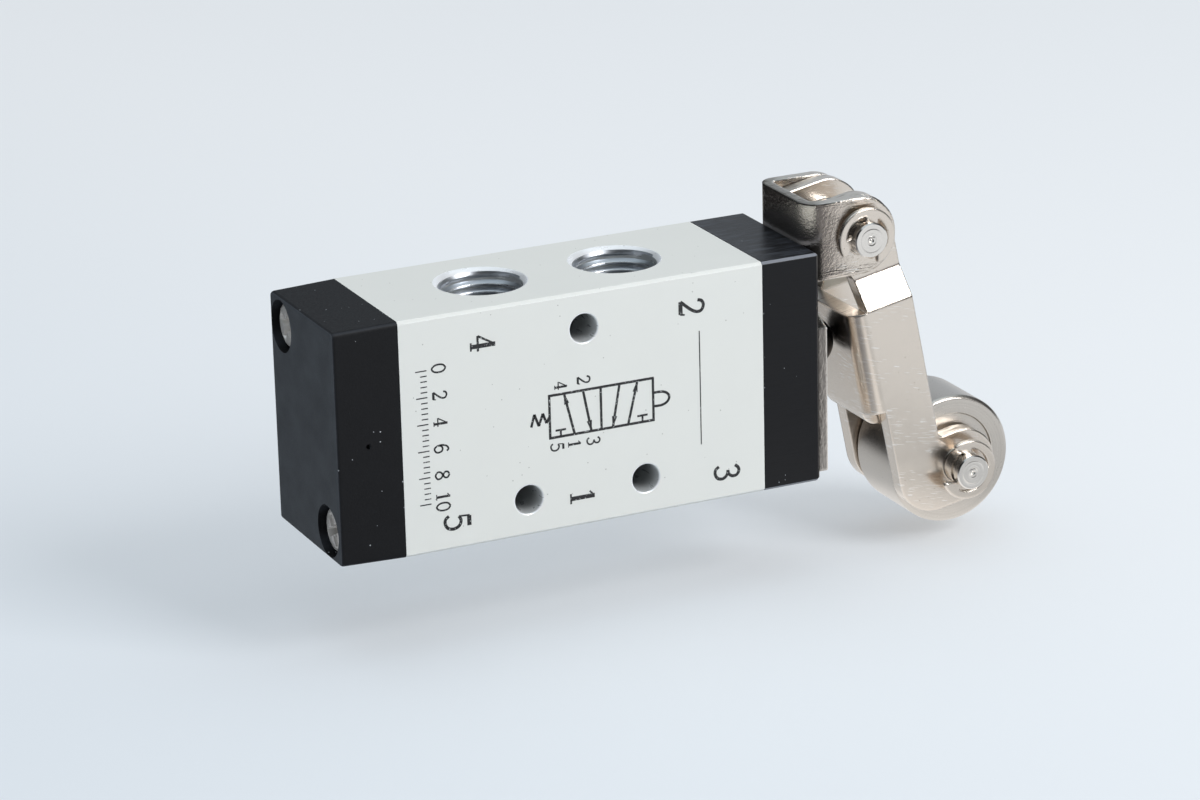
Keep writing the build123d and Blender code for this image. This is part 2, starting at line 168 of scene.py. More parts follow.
def times(tree, first, second):
    """The product of two numbers."""
    return maths(tree, "MULTIPLY", first, second)


def vector_maths(tree, operation, first, second, output="Vector"):
    """One sum on vectors. Returns its output."""
    return put(tree, "VectorMath", {0: first, 1: second}, operation=operation).outputs[output]


def split(tree, vector):
    """The X, Y and Z of a vector."""
    return put(tree, "SeparateXYZ", {"Vector": vector}).outputs


def mix_colour(tree, amount, first, second):
    """Blend two colours by an amount. Returns the blend."""
    return put(tree, "Mix", {"Factor": amount, 6: first, 7: second}, data_type="RGBA").outputs[2]


def mix_value(tree, amount, first, second):
    """Blend two numbers by an amount. Returns the blend."""
    return put(tree, "Mix", {"Factor": amount, 2: first, 3: second}).outputs[0]


def opposite(tree, value):
    """1 where a value is 0, and 0 where it is 1."""
    return maths(tree, "SUBTRACT", 1.0, value)


def distance_from(tree, value, middle):
    """How far a value in metres is from a middle in millimetres, in metres."""
    return maths(tree, "ABSOLUTE", maths(tree, "SUBTRACT", value, middle * MM))


def shade_of(colour, factor):
    """A colour made darker or paler, but never above 1."""
    return tuple(min(1.0, factor * v) for v in colour)


print("helpers for sums and colours ready")

# %% Ranges and relief


def spread(tree, value, low, high):
    """Turn a 0 to 1 value into the range from low to high. Returns the new value."""
    return put(tree, "MapRange", {"Value": value, "To Min": low, "To Max": high}).outputs["Result"]


def step_up(tree, value, start, end):
    """0 below start, 1 above end, smooth between. Returns the new value."""
    node = put(tree, "MapRange", {"Value": value, "From Min": start, "From Max": end},
               interpolation_type="SMOOTHSTEP")
    return node.outputs["Result"]


def step_up_mm(tree, distance, start, end):
    """The same for a distance in metres, between two values in millimetres."""
    return step_up(tree, distance, start * MM, end * MM)


def bump(tree, height, strength, distance, **more):
    """Relief that bends the light, with its distance in millimetres. Returns the normal."""
    inputs = {"Strength": strength, "Distance": distance * MM, "Height": height, **more}
    return put(tree, "Bump", inputs).outputs["Normal"]


print("helpers for ranges and relief ready")

# %% Material helpers


def wire(tree, node, **inputs):
    """Feed a node's inputs by name, with _ for a space."""
    for label, value in inputs.items():
        feed(tree, node.inputs[label.replace("_", " ")], value)


def new_material(name, colour, metallic, roughness, **more):
    """A material with a Principled shader. Returns the material, its tree and the shader."""
    material = bpy.data.materials.new(name)
    material.use_nodes = True
    material.diffuse_color = (*colour, 1.0)
    tree = material.node_tree
    shader = tree.nodes["Principled BSDF"]
    wire(tree, shader, Base_Color=colour, Metallic=metallic, Roughness=roughness, **more)
    return material, tree, shader


def place_in(tree):
    """Where a point is on the object, in metres. It moves with the object."""
    return put(tree, "TexCoord").outputs["Object"]


def dress(material, *names):
    """Give CAD nodes a material, in the slots that they already have."""
    for name in names:
        mesh = nodes[name].data
        if not mesh.materials:
            mesh.materials.append(material)
        for index in range(len(mesh.materials)):
            mesh.materials[index] = material


print("helpers for materials ready")

# %% [markdown]
# ## Effects that several finishes share
#
# Machined and plated parts share a few marks: fine grain, brushing, scratches, dust, turned rings
# and bright worn edges. Each is built once as a node group with named inputs, and each material
# then places it with values of its own.

# %% Group helper
ORIGIN = (0.0, 0.0, 0.0)


def new_group(name, inputs, outputs):
    """A shader node group. Returns the group, its input sockets and its output node."""
    group = bpy.data.node_groups.new(name, "ShaderNodeTree")
    kinds = {float: "NodeSocketFloat", tuple: "NodeSocketVector"}
    for label, value in inputs.items():
        socket = group.interface.new_socket(name=label, in_out="INPUT", socket_type=kinds[type(value)])
        socket.default_value = value
    for label in outputs:
        group.interface.new_socket(name=label, in_out="OUTPUT", socket_type="NodeSocketFloat")
    start = group.nodes.new("NodeGroupInput")
    end = group.nodes.new("NodeGroupOutput")
    return group, start.outputs, end


def use_group(tree, group, **inputs):
    """Place a group in a material. Returns its outputs."""
    node = put(tree, "Group", node_tree=group)
    wire(tree, node, **inputs)
    return node.outputs


print("helpers for groups ready")

# %% Grain and brushing
EVEN_GRAIN = (1.0, 1.0, 1.0)

grain, given, result = new_group(
    "fine_grain", {"Vector": ORIGIN, "Size": 0.1, "Stretch": EVEN_GRAIN, "Detail": 3.0}, ["Value"])
stretched = vector_maths(grain, "DIVIDE", given["Vector"], given["Stretch"])
per_size = maths(grain, "DIVIDE", PER_METRE, given["Size"])
noise = put(grain, "TexNoise", {"Vector": stretched, "Scale": per_size, "Detail": given["Detail"]})
wire(grain, result, Value=noise.outputs["Fac"])


def grain_at(tree, place, size, detail, stretch=EVEN_GRAIN):
    """Grain in a material, with its size in millimetres. Returns its value."""
    return use_group(tree, grain, Vector=place, Size=size, Stretch=stretch, Detail=detail)["Value"]


print("fine_grain: Size is in millimetres, and Stretch draws it out into brushing")

# %% Scratches
DASH_FADE = 0.04
ROW_STRETCH = (4.0, 4.0, 1.0)
ROWS_PER_METRE = 420.0

scratches, given, result = new_group(
    "scratches", {"Vector": ORIGIN, "Size": 0.15, "Stretch": (12.0, 12.0, 1.0), "Turn": 0.0,
                  "Level": 0.66, "Share": 0.5}, ["Mask"])
turned_place = put(scratches, "VectorRotate", {"Vector": given["Vector"], "Angle": given["Turn"]},
                   rotation_type="Y_AXIS").outputs["Vector"]
stretched = vector_maths(scratches, "DIVIDE", turned_place, given["Stretch"])
per_size = maths(scratches, "DIVIDE", PER_METRE, given["Size"])
dashes = put(scratches, "TexNoise", {"Vector": stretched, "Scale": per_size, "Detail": 0.0})
full_level = maths(scratches, "ADD", given["Level"], DASH_FADE)
dash = step_up(scratches, dashes.outputs["Fac"], given["Level"], full_level)
rows_place = vector_maths(scratches, "DIVIDE", turned_place, ROW_STRETCH)
rows = put(scratches, "TexNoise", {"Vector": rows_place, "Scale": ROWS_PER_METRE, "Detail": 2.0})
patch = maths(scratches, "GREATER_THAN", rows.outputs["Fac"], opposite(scratches, given["Share"]))
wire(scratches, result, Mask=times(scratches, dash, patch))
print("scratches: short straight dashes, in loose rows")

# %% Dust and pits
specks, given, result = new_group(
    "specks", {"Vector": ORIGIN, "Spacing": 2.0, "Radius": 0.1, "Share": 0.3}, ["Mask"])
per_spacing = maths(specks, "DIVIDE", PER_METRE, given["Spacing"])
cells = put(specks, "TexVoronoi", {"Vector": given["Vector"], "Scale": per_spacing})
reach = maths(specks, "DIVIDE", given["Radius"], given["Spacing"])
near = maths(specks, "LESS_THAN", cells.outputs["Distance"], reach)
pick = put(specks, "SeparateColor", {"Color": cells.outputs["Color"]}).outputs["Red"]
chosen = maths(specks, "LESS_THAN", pick, given["Share"])
wire(specks, result, Mask=times(specks, near, chosen))


def specks_at(tree, place, spacing, radius, share):
    """Small dots in a material, with sizes in millimetres. Returns their mask."""
    return use_group(tree, specks, Vector=place, Spacing=spacing, Radius=radius, Share=share)["Mask"]


print("specks: one dot in a share of the cells")

# %% Turned rings
rings, given, result = new_group(
    "turned_rings", {"Vector": ORIGIN, "Centre": ORIGIN, "Flatten": (1.0, 0.0, 1.0), "Pitch": 0.1},
    ["Value", "Radius"])
from_centre = vector_maths(rings, "SUBTRACT", given["Vector"], given["Centre"])
flat = vector_maths(rings, "MULTIPLY", from_centre, given["Flatten"])
radius = vector_maths(rings, "LENGTH", flat, ORIGIN, output="Value")
millimetres = times(rings, radius, PER_METRE)
turns = maths(rings, "DIVIDE", millimetres, given["Pitch"])
wave = put(rings, "TexNoise", {"W": turns, "Scale": 1.0, "Detail": 2.0}, noise_dimensions="1D")
wire(rings, result, Value=wave.outputs["Fac"], Radius=millimetres)


def rings_at(tree, place, centre, flatten, pitch=0.1):
    """Rings round an axis through a centre in millimetres. Returns the group's outputs."""
    in_metres = tuple(v * MM for v in centre)
    return use_group(tree, rings, Vector=place, Centre=in_metres, Flatten=flatten, Pitch=pitch)


print("turned_rings: tool marks round an axis, and the distance from it in millimetres")

# %% Worn edges
worn, given, result = new_group("worn_edges", {"Radius": 0.0002, "Strength": 4.0}, ["Mask"])
true_normal = put(worn, "NewGeometry").outputs["True Normal"]
soft_normal = put(worn, "Bevel", {"Radius": given["Radius"]}, samples=4).outputs["Normal"]
alike = vector_maths(worn, "DOT_PRODUCT", true_normal, soft_normal, output="Value")
wire(worn, result, Mask=maths(worn, "MULTIPLY", opposite(worn, alike), given["Strength"], clamp=True))


def worn_at(tree, radius, strength):
    """Worn edges in a material, with a radius in millimetres. Returns their mask."""
    return use_group(tree, worn, Radius=radius * MM, Strength=strength)["Mask"]


print("worn_edges: 1 on the last bit of a surface before its edge")

# %% [markdown]
# ## The pale body
#
# The body is a bar of aluminium with a fine, pale satin coat. The ports and screw holes were cut
# after coating, so they show bare metal: bright on the bevelled mouths, and down the bores a painted
# shade, darker where less light comes in. The shader finds them by distance from their axes, which
# needs no extra faces and stays right from every side. Small dark pits, and a pale, broken line along
# the edges that is partly wear and partly a painted highlight, come from the shared groups.

# %% Where the holes are
PORT_X = {"port_4": -8.0, "port_2": 8.0, "port_5": -14.0, "port_1": 0.0, "port_3": 14.0}
UPPER_PORTS = ("port_4", "port_2")
LOWER_PORTS = ("port_5", "port_1", "port_3")
AXIS_Y = -9.0
PORT_MOUTH = 5.16
PORT_BORE = 4.64
HOLES = [(0.0, 9.15), (-7.0, -9.15), (7.0, -9.15)]
HOLE_MOUTH = 1.76
HOLE_BORE = 1.63
ALONG_Z = (1.0, 1.0, 0.0)  # flattens a place along Z, to measure round an axis along Z
ALONG_Y = (1.0, 0.0, 1.0)
ALONG_X = (0.0, 1.0, 1.0)


def near_axis(tree, place, centre, flatten, radius):
    """1 within a radius, in millimetres, of an axis."""
    return maths(tree, "LESS_THAN", rings_at(tree, place, centre, flatten)["Radius"], radius)


def largest(tree, masks):
    """The strongest of several masks."""
    total = masks[0]
    for mask in masks[1:]:
        total = maths(tree, "MAXIMUM", total, mask)
    return total


def inside_openings(tree, place, port_radius, hole_radius):
    """1 within a radius of each port in its own half, and of each screw hole."""
    above = maths(tree, "GREATER_THAN", split(tree, place)["Z"], 0.0)
    sides = []
    for side, names in ((above, UPPER_PORTS), (opposite(tree, above), LOWER_PORTS)):
        found = [near_axis(tree, place, (PORT_X[n], AXIS_Y, 0.0), ALONG_Z, port_radius) for n in names]
        sides.append(times(tree, largest(tree, found), side))
    drilled = [near_axis(tree, place, (x, 0.0, z), ALONG_Y, hole_radius) for x, z in HOLES]
    return largest(tree, sides + drilled)


print("ports:", len(PORT_X), "screw holes:", len(HOLES))

# %% Body material
BODY_COLOUR = (0.72, 0.725, 0.69)
BODY_SHADE = (0.695, 0.70, 0.67)
BODY_EDGE_WEAR_AND_HIGHLIGHT = (0.97, 0.98, 0.98)
PIT_COLOUR = (0.22, 0.21, 0.19)
BEVEL_METAL = (0.93, 0.945, 0.96)
BORE_PAINTED_SHADE = (0.36, 0.375, 0.38)
BORE_MOUTH_LIT = (0.86, 0.88, 0.88)
BORE_SHADE_FADE = (5.8, 9.5)  # between these distances off the middle, a bore's painted shade fades to pale
BARE_METALLIC = 0.35

pale, tree, shader = new_material("pale_anodised", BODY_COLOUR, 0.0, 0.5)
place = place_in(tree)
bare = inside_openings(tree, place, PORT_MOUTH, HOLE_MOUTH)
bored = inside_openings(tree, place, PORT_BORE, HOLE_BORE)
satin = grain_at(tree, place, 0.12, 2.0)

# the pale, broken edge line is partly wear and partly a painted highlight
edge = times(tree, worn_at(tree, 0.14, 8.0), step_up(tree, grain_at(tree, place, 0.35, 3.0), 0.36, 0.44))
pits = times(tree, specks_at(tree, place, 1.0, 0.07, 0.30), 0.65)
coat = mix_colour(tree, grain_at(tree, place, 6.0, 3.0), BODY_SHADE, BODY_COLOUR)
coat = mix_colour(tree, edge, mix_colour(tree, pits, coat, PIT_COLOUR), BODY_EDGE_WEAR_AND_HIGHLIGHT)

cutter_marks = grain_at(tree, place, 0.25, 3.0, (6.0, 6.0, 1.0))
off_middle = distance_from(tree, split(tree, place)["Y"], AXIS_Y)
# painted shade: the bore is painted darker deep inside and paler near its mouth
bore_painted_shade = mix_colour(tree, step_up_mm(tree, off_middle, *BORE_SHADE_FADE), BORE_PAINTED_SHADE, BORE_MOUTH_LIT)
cut = mix_colour(tree, bored, BEVEL_METAL, bore_painted_shade)

height = times(tree, satin, opposite(tree, bare))
wire(tree, shader, Base_Color=mix_colour(tree, bare, coat, cut), Metallic=times(tree, bare, BARE_METALLIC),
     Roughness=mix_value(tree, bare, spread(tree, satin, 0.45, 0.6), spread(tree, cutter_marks, 0.2, 0.4)),
     Normal=bump(tree, height, 0.12, 0.02))
dress(pale, "body")
print("body: satin coat outside, bare metal in the openings")

# %% [markdown]
# ## Black end pieces
#
# The cap is moulded plastic with a fine matt skin. Its rounded edges are painted a little paler, a
# painted highlight, and its flat end, which faces left, is painted paler in thin, uneven clouds, a
# painted light on that side. The block is black anodised metal, brushed along X on its top, where
# the brushed streaks are painted paler, partly a painted sheen, with a painted highlight as a pale
# line along its upper edges. A group tells edges from faces by the way a surface looks: on a rounded
# edge the normal lies between two axes. Real parts also carry a few grains of dust, which show on
# black.

# %% Which way a surface faces
LOOKS_LEFT = -0.6

facing, given, result = new_group("facing", {"Start": 0.0, "End": 0.2}, ["Edge", "Left", "Up"])
normal = put(facing, "TexCoord").outputs["Normal"]
plain = split(facing, vector_maths(facing, "ABSOLUTE", normal, ORIGIN))
strongest = largest(facing, plain)
edge = step_up(facing, opposite(facing, strongest), given["Start"], given["End"])
left = maths(facing, "LESS_THAN", split(facing, normal)["X"], LOOKS_LEFT)
wire(facing, result, Edge=edge, Left=left, Up=plain["Z"])
print("facing: Edge is 1 on a rounded edge, and the others say which way a face looks")

# %% Cap material
PLASTIC = (0.0065, 0.007, 0.0085)
PLASTIC_EDGE_HIGHLIGHT = (0.040, 0.045, 0.056)
PLASTIC_PAINTED_LIGHT = (0.085, 0.093, 0.103)
DUST = (0.42, 0.44, 0.47)

black_plastic, tree, shader = new_material("black_plastic", PLASTIC, 0.0, 0.62, Specular_IOR_Level=0.26)
place = place_in(tree)
skin = grain_at(tree, place, 0.2, 3.0)
cloud = grain_at(tree, place, 2.5, 4.0)
dust = specks_at(tree, place, 0.8, 0.07, 0.22)
faces = use_group(tree, facing, Start=0.02, End=0.2)
# painted light: the flat end, which faces left, is painted paler in uneven clouds
left_painted_light = times(tree, faces["Left"], spread(tree, cloud, 0.6, 1.1))
colour = mix_colour(tree, times(tree, cloud, 0.5), PLASTIC, shade_of(PLASTIC, 1.6))
colour = mix_colour(tree, left_painted_light, colour, PLASTIC_PAINTED_LIGHT)
# painted highlight: the rounded edges are painted paler
colour = mix_colour(tree, times(tree, faces["Edge"], 0.4), colour, PLASTIC_EDGE_HIGHLIGHT)
wire(tree, shader, Base_Color=mix_colour(tree, dust, colour, DUST),
     Roughness=spread(tree, skin, 0.5, 0.75), Normal=bump(tree, skin, 0.5, 0.04))
dress(black_plastic, "spring_cap")
print("cap: matt skin, haze on the flat end, dust")

# %% Block material
BLACK_COAT = (0.006, 0.0063, 0.0075)
EDGE_HIGHLIGHT_COAT = (0.20, 0.21, 0.235)
BRUSHED_SHEEN_COAT = (0.095, 0.108, 0.130)
EDGE_LOOKS_UP = 0.5
TOP_LOOKS_UP = 0.8

black_metal, tree, shader = new_material("black_anodised", BLACK_COAT, 0.0, 0.35, Specular_IOR_Level=0.2)
place = place_in(tree)
brushing = grain_at(tree, place, 0.11, 4.0, (34.0, 1.0, 1.0))
dust = specks_at(tree, place, 0.8, 0.055, 0.12)
faces = use_group(tree, facing, Start=0.15, End=0.25)
edge = times(tree, faces["Edge"], maths(tree, "GREATER_THAN", faces["Up"], EDGE_LOOKS_UP))
on_top = maths(tree, "GREATER_THAN", faces["Up"], TOP_LOOKS_UP)
# partly brushing and partly a painted sheen: the streaks on the top are painted paler
streaks = times(tree, step_up(tree, brushing, 0.52, 0.74), on_top)
colour = mix_colour(tree, brushing, BLACK_COAT, shade_of(BLACK_COAT, 1.5))
colour = mix_colour(tree, streaks, colour, BRUSHED_SHEEN_COAT)
# painted highlight: the rounded edges that face up are painted pale
colour = mix_colour(tree, edge, colour, EDGE_HIGHLIGHT_COAT)
wire(tree, shader, Base_Color=mix_colour(tree, dust, colour, DUST),
     Roughness=spread(tree, brushing, 0.2, 0.5), Normal=bump(tree, brushing, 0.6, 0.02))
dress(black_metal, "end_block")
# the pale upper edges named in this print are a painted highlight
print("block: brushed top, rubbed upper edges, dust")

# %% [markdown]
# ## Nickel plate
#
# The bracket, lever, roller, pins and clips are steel with a satin nickel plate. Nickel is a warm
# grey metal, so the colour goes on a fully metallic shader. The differences are in how each piece
# was made. Stamped sheet has short scratches, and where it was sheared it is torn and streaky:
# the `cut_edges` group finds those faces. The tool that folded the bracket left its cheeks slightly
# curved and streaked. Turned pieces have rings. The sheet's edges are rounded for the light only,
# by a Bevel node, because a Bevel modifier makes spikes at the lever's jog.

# %% Cut edges of sheet metal
WEB_HALF = 4.4
WEB_TOP_Z = 5.0
LOOKS_ALONG = (0.5, 0.7)
LEANS_TO_Y = 0.4

cut_edges, given, result = new_group(
    "cut_edges", {"Vector": ORIGIN, "Front": 1.0, "Side Reach": 100.0}, ["Mask", "Side"])
towards = split(cut_edges, put(cut_edges, "TexCoord").outputs["Normal"])
along = split(cut_edges, given["Vector"])
off_axis = distance_from(cut_edges, along["Y"], AXIS_Y)
beside_web = largest(cut_edges, [maths(cut_edges, "GREATER_THAN", off_axis, WEB_HALF * MM),
                                 maths(cut_edges, "GREATER_THAN", along["Z"], WEB_TOP_Z * MM)])
front = times(cut_edges, step_up(cut_edges, towards["X"], *LOOKS_ALONG), beside_web)
front = times(cut_edges, front, given["Front"])
upright = step_up(cut_edges, maths(cut_edges, "ABSOLUTE", towards["Z"]), *LOOKS_ALONG)
flat_in_y = maths(cut_edges, "LESS_THAN", maths(cut_edges, "ABSOLUTE", towards["Y"]), LEANS_TO_Y)
cut = times(cut_edges, largest(cut_edges, [upright, front]), flat_in_y)
side = maths(cut_edges, "GREATER_THAN", off_axis, times(cut_edges, given["Side Reach"], MM))
wire(cut_edges, result, Mask=largest(cut_edges, [cut, side]), Side=side)
print("cut_edges: 1 on faces across Z, on front faces if Front is 1, and beyond Side Reach along Y")

# %% Torn look of a sheared edge
SHEARED_DARK = (0.30, 0.255, 0.21)
SHEARED_PALE = (0.80, 0.75, 0.69)


def sheared_look(tree, place, side):
    """Long torn bands, or a patchy tear where side is 1. Returns colour, relief and roughness."""
    bands = grain_at(tree, place, 0.3, 4.0, (7.0, 1.0, 7.0))
    lumps = grain_at(tree, place, 0.9, 3.0)
    patches = grain_at(tree, place, 0.45, 5.0, (1.0, 1.0, 2.5))
    torn = times(tree, step_up(tree, bands, 0.26, 0.46), spread(tree, lumps, 0.7, 1.3))
    torn = mix_value(tree, side, torn, step_up(tree, patches, 0.10, 0.42))
    relief = maths(tree, "ADD", times(tree, bands, 1.6), lumps)
    relief = mix_value(tree, side, relief, times(tree, patches, 7.0))
    return mix_colour(tree, torn, SHEARED_DARK, SHEARED_PALE), relief, spread(tree, bands, 0.55, 0.25)


print("sheared_look ready")

# %% Cheeks of the bracket
CHEEK_FLAT_X = 35.6
CHEEK_CURVE = 50.0  # metres of height for a square metre of distance
CHEEK_MIDDLE_Z = 13.35
CHEEK_START_X = (29.0, 31.2)
STREAKS_START = (3.0, 4.0)


def cheek_curve(tree, place):
    """The bracket's cheeks bulge a little next to their bend. The height of that, in metres."""
    short_of_flat = maths(tree, "SUBTRACT", CHEEK_FLAT_X * MM, split(tree, place)["X"])
    short_of_flat = maths(tree, "MAXIMUM", short_of_flat, 0.0)
    return times(tree, maths(tree, "POWER", short_of_flat, 2.0), -CHEEK_CURVE)


def drawn_streaks(tree, place):
    """Relief of the cheeks: streaks along X near their top and bottom, and fine speckle all over."""
    along = split(tree, place)
    outer = step_up_mm(tree, distance_from(tree, along["Z"], CHEEK_MIDDLE_Z), *STREAKS_START)
    on_cheek = step_up_mm(tree, along["X"], *CHEEK_START_X)
    streaks = times(tree, grain_at(tree, place, 0.22, 3.0, (12.0, 1.0, 1.0)), outer)
    speckle = times(tree, grain_at(tree, place, 0.28, 4.0), spread(tree, on_cheek, 0.4, 0.5))
    return maths(tree, "ADD", times(tree, streaks, on_cheek), speckle)


print("the cheeks are flat from X", CHEEK_FLAT_X, "mm on")

# %% Sheet metal material
NICKEL = (0.77, 0.70, 0.625)
NICKEL_DARK = (0.36, 0.30, 0.24)
NICKEL_EDGE = (0.94, 0.92, 0.89)
SHEET_ROUNDING = 0.4
NO_SIDE = 100.0  # no face lies that far out
LEVER_LEAN = math.radians(-11.0)
BRACKET_SIDE = 8.25


def sheet_nickel(name, scratch_turn, scratch_share, front=1.0, side_reach=NO_SIDE, curved=False,
                 rough=(0.17, 0.31)):
    """Plated sheet: soft mottling, fine grain, dashes, rounded edges, and torn sheared edges."""
    material, tree, shader = new_material(name, NICKEL, 1.0, 0.22)
    place = place_in(tree)
    mottle = grain_at(tree, place, 1.4, 5.0)
    marks = use_group(tree, scratches, Vector=place, Size=0.11, Stretch=(14.0, 14.0, 1.0),
                      Turn=scratch_turn, Level=0.66, Share=scratch_share)["Mask"]
    pits = specks_at(tree, place, 0.9, 0.06, 0.45)
    sheared, side = use_group(tree, cut_edges, Vector=place, Front=front, Side_Reach=side_reach)
    torn_colour, torn_relief, torn_rough = sheared_look(tree, place, side)

    colour = mix_colour(tree, mottle, shade_of(NICKEL, 0.93), shade_of(NICKEL, 1.04))
    colour = mix_colour(tree, times(tree, pits, 0.6), colour, NICKEL_DARK)
    colour = mix_colour(tree, times(tree, marks, 0.6), colour, NICKEL_EDGE)
    colour = mix_colour(tree, sheared, colour, torn_colour)
    colour = mix_colour(tree, times(tree, worn_at(tree, 0.16, 5.0), 0.8), colour, NICKEL_EDGE)

    fine = times(tree, grain_at(tree, place, 0.14, 3.0), 0.3)
    relief = maths(tree, "SUBTRACT", fine, times(tree, marks, 0.25))
    relief = mix_value(tree, sheared, relief, torn_relief)
    normal = put(tree, "Bevel", {"Radius": SHEET_ROUNDING * MM}, samples=8).outputs["Normal"]
    if curved:
        relief = maths(tree, "ADD", relief, times(tree, drawn_streaks(tree, place), 9.0))
        normal = bump(tree, cheek_curve(tree, place), 1.0, PER_METRE, Normal=normal)
    wire(tree, shader, Base_Color=colour, Normal=bump(tree, relief, 0.4, 0.03, Normal=normal),
         Roughness=mix_value(tree, sheared, spread(tree, mottle, *rough), torn_rough))
    return material


dress(sheet_nickel("lever_nickel", LEVER_LEAN, 0.5), "roller_lever")
bracket_nickel = sheet_nickel("bracket_nickel", 0.0, 0.45, front=0.0, side_reach=BRACKET_SIDE,
                              curved=True, rough=(0.11, 0.24))
dress(bracket_nickel, "lever_bracket")
dress(sheet_nickel("clip_nickel", 0.0, 0.3), "pivot_clips", "roller_clips")
print("sheet nickel: lever, bracket and clips")

# %% Turned parts
PIVOT = (35.5, AXIS_Y, 13.35)
ROLLER_PIN = (47.5978, AXIS_Y, -15.451)
PIN_METAL = (0.85, 0.815, 0.77)
ROLLER_METAL = (0.70, 0.655, 0.60)


def turned_metal(name, colour, centre, flatten, pitch, rough, metallic=1.0):
    """A turned part, with rings round its axis."""
    material, tree, shader = new_material(name, colour, metallic, sum(rough) / 2)
    place = place_in(tree)
    turning = rings_at(tree, place, centre, flatten, pitch)["Value"]
    fine = grain_at(tree, place, 0.15, 3.0)
    shade = mix_colour(tree, turning, shade_of(colour, 0.86), colour)
    shade = mix_colour(tree, times(tree, worn_at(tree, 0.15, 4.0), 0.7), shade, NICKEL_EDGE)
    relief = maths(tree, "ADD", times(tree, turning, 0.7), times(tree, fine, 0.3))
    wire(tree, shader, Base_Color=shade, Roughness=spread(tree, fine, *rough),
         Normal=bump(tree, relief, 0.3, 0.03))
    return material


pivot_metal = turned_metal("pivot_pin_metal", PIN_METAL, PIVOT, ALONG_Y, 0.16, (0.14, 0.28))
roller_pin_metal = turned_metal("roller_pin_metal", PIN_METAL, ROLLER_PIN, ALONG_Y, 0.16, (0.14, 0.28))
dress(turned_metal("roller_metal", ROLLER_METAL, ROLLER_PIN, ALONG_Y, 0.25, (0.2, 0.42)), "roller")
print("turned metal: pins and roller")

# %% [markdown]
# ## Pieces inside
#
# The seals, spring, spool and plunger hardly show, but the part is also looked at in section and
# from the back, so each gets a finish of its own.

# %% Inner materials
RUBBER = (0.016, 0.016, 0.017)
SEALS = ["cap_gasket", "block_gasket", "plunger_seal"] + ["spool_seal_%d" % n for n in range(1, 7)]
INNER_METALS = {
    "plunger": ("plunger_steel", (0.035, 0.035, 0.038), 0.2, (0.3, 0.45)),
    "return_spring": ("spring_steel", (0.42, 0.42, 0.44), 0.3, (0.25, 0.4)),
    "spool": ("turned_aluminium", (0.78, 0.79, 0.80), 0.2, (0.2, 0.35)),
}
VALVE_AXIS = (0.0, AXIS_Y, 0.0)

rubber, tree, shader = new_material("seal_rubber", RUBBER, 0.0, 0.55)
fine = grain_at(tree, place_in(tree), 0.2, 3.0)
wire(tree, shader, Roughness=spread(tree, fine, 0.45, 0.65), Normal=bump(tree, fine, 0.2, 0.02))
dress(rubber, *SEALS)

for node, (name, colour, pitch, rough) in INNER_METALS.items():
    dress(turned_metal(name, colour, VALVE_AXIS, ALONG_X, pitch, rough), node)
print("inner finishes:", len(SEALS), "rubber rings,", ", ".join(INNER_METALS))

# %% [markdown]
# ## Rounded edges
#
# No real edge is perfectly sharp. A narrow rounding catches the light and draws the thin bright
# lines that the eye reads as metal. The imported meshes are split along their edges, so a Weld
# modifier joins them first and a Decimate modifier merges what lies flat. A Bevel then rounds what
# is sharper than its angle, and weighted normals keep the flat faces flat. The lever and bracket
# aren't in the list, because their material rounds them, and the moulded cap has its roundings in
# the model.

# %% Round the edges
WELD_REACH = 0.001
FLAT_WITHIN = math.radians(0.05)
SHARP_FROM = math.radians(32.0)
ROUNDING = {"body": 0.08, "pivot_clips": 0.06, "roller_clips": 0.06, "roller": 0.1, "end_block": 0.06}


def modify(piece, kind, **settings):
    """Add a modifier with its settings."""
    modifier = piece.modifiers.new(kind.lower(), kind)
    for name, value in settings.items():
        setattr(modifier, name, value)


def round_corners(piece, width, sharp_from, **more):
    """Round what is sharper than an angle by a width in millimetres."""
    modify(piece, "BEVEL", width=width * MM, segments=2, limit_method="ANGLE", angle_limit=sharp_from, **more)


for name, width in ROUNDING.items():
    modify(nodes[name], "WELD", merge_threshold=WELD_REACH * MM)
    modify(nodes[name], "DECIMATE", decimate_type="DISSOLVE", angle_limit=FLAT_WITHIN)
    round_corners(nodes[name], width, SHARP_FROM, use_clamp_overlap=False, miter_outer="MITER_ARC")
    modify(nodes[name], "WEIGHTED_NORMAL", keep_sharp=True)
print("rounded:", ", ".join(ROUNDING))

# %% [markdown]
# ## Helpers for new pieces
#
# Each new piece is built in a bmesh, Blender's mesh editor for scripts. `make_piece` turns it into
# an object, gives it its material and says which body carries it.

# %% Piece helpers


def make_piece(name, mesh_builder, material, body, smooth_angle=30.0):
    """Turn a bmesh into an object that rides on a body. The bmesh is in millimetres."""
    bmesh.ops.recalc_face_normals(mesh_builder, faces=mesh_builder.faces)
    bmesh.ops.scale(mesh_builder, vec=(MM, MM, MM), verts=mesh_builder.verts)
    for edge in mesh_builder.edges:
        sharp = len(edge.link_faces) != 2 or edge.calc_face_angle(0.0) > math.radians(smooth_angle)
        edge.smooth = not sharp
    for face in mesh_builder.faces:
        face.smooth = True
    mesh = bpy.data.meshes.new(name)
    mesh_builder.to_mesh(mesh)
    mesh_builder.free()
    mesh.materials.append(material)
    piece = add_object(name, mesh)
    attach(piece, body)
    return piece


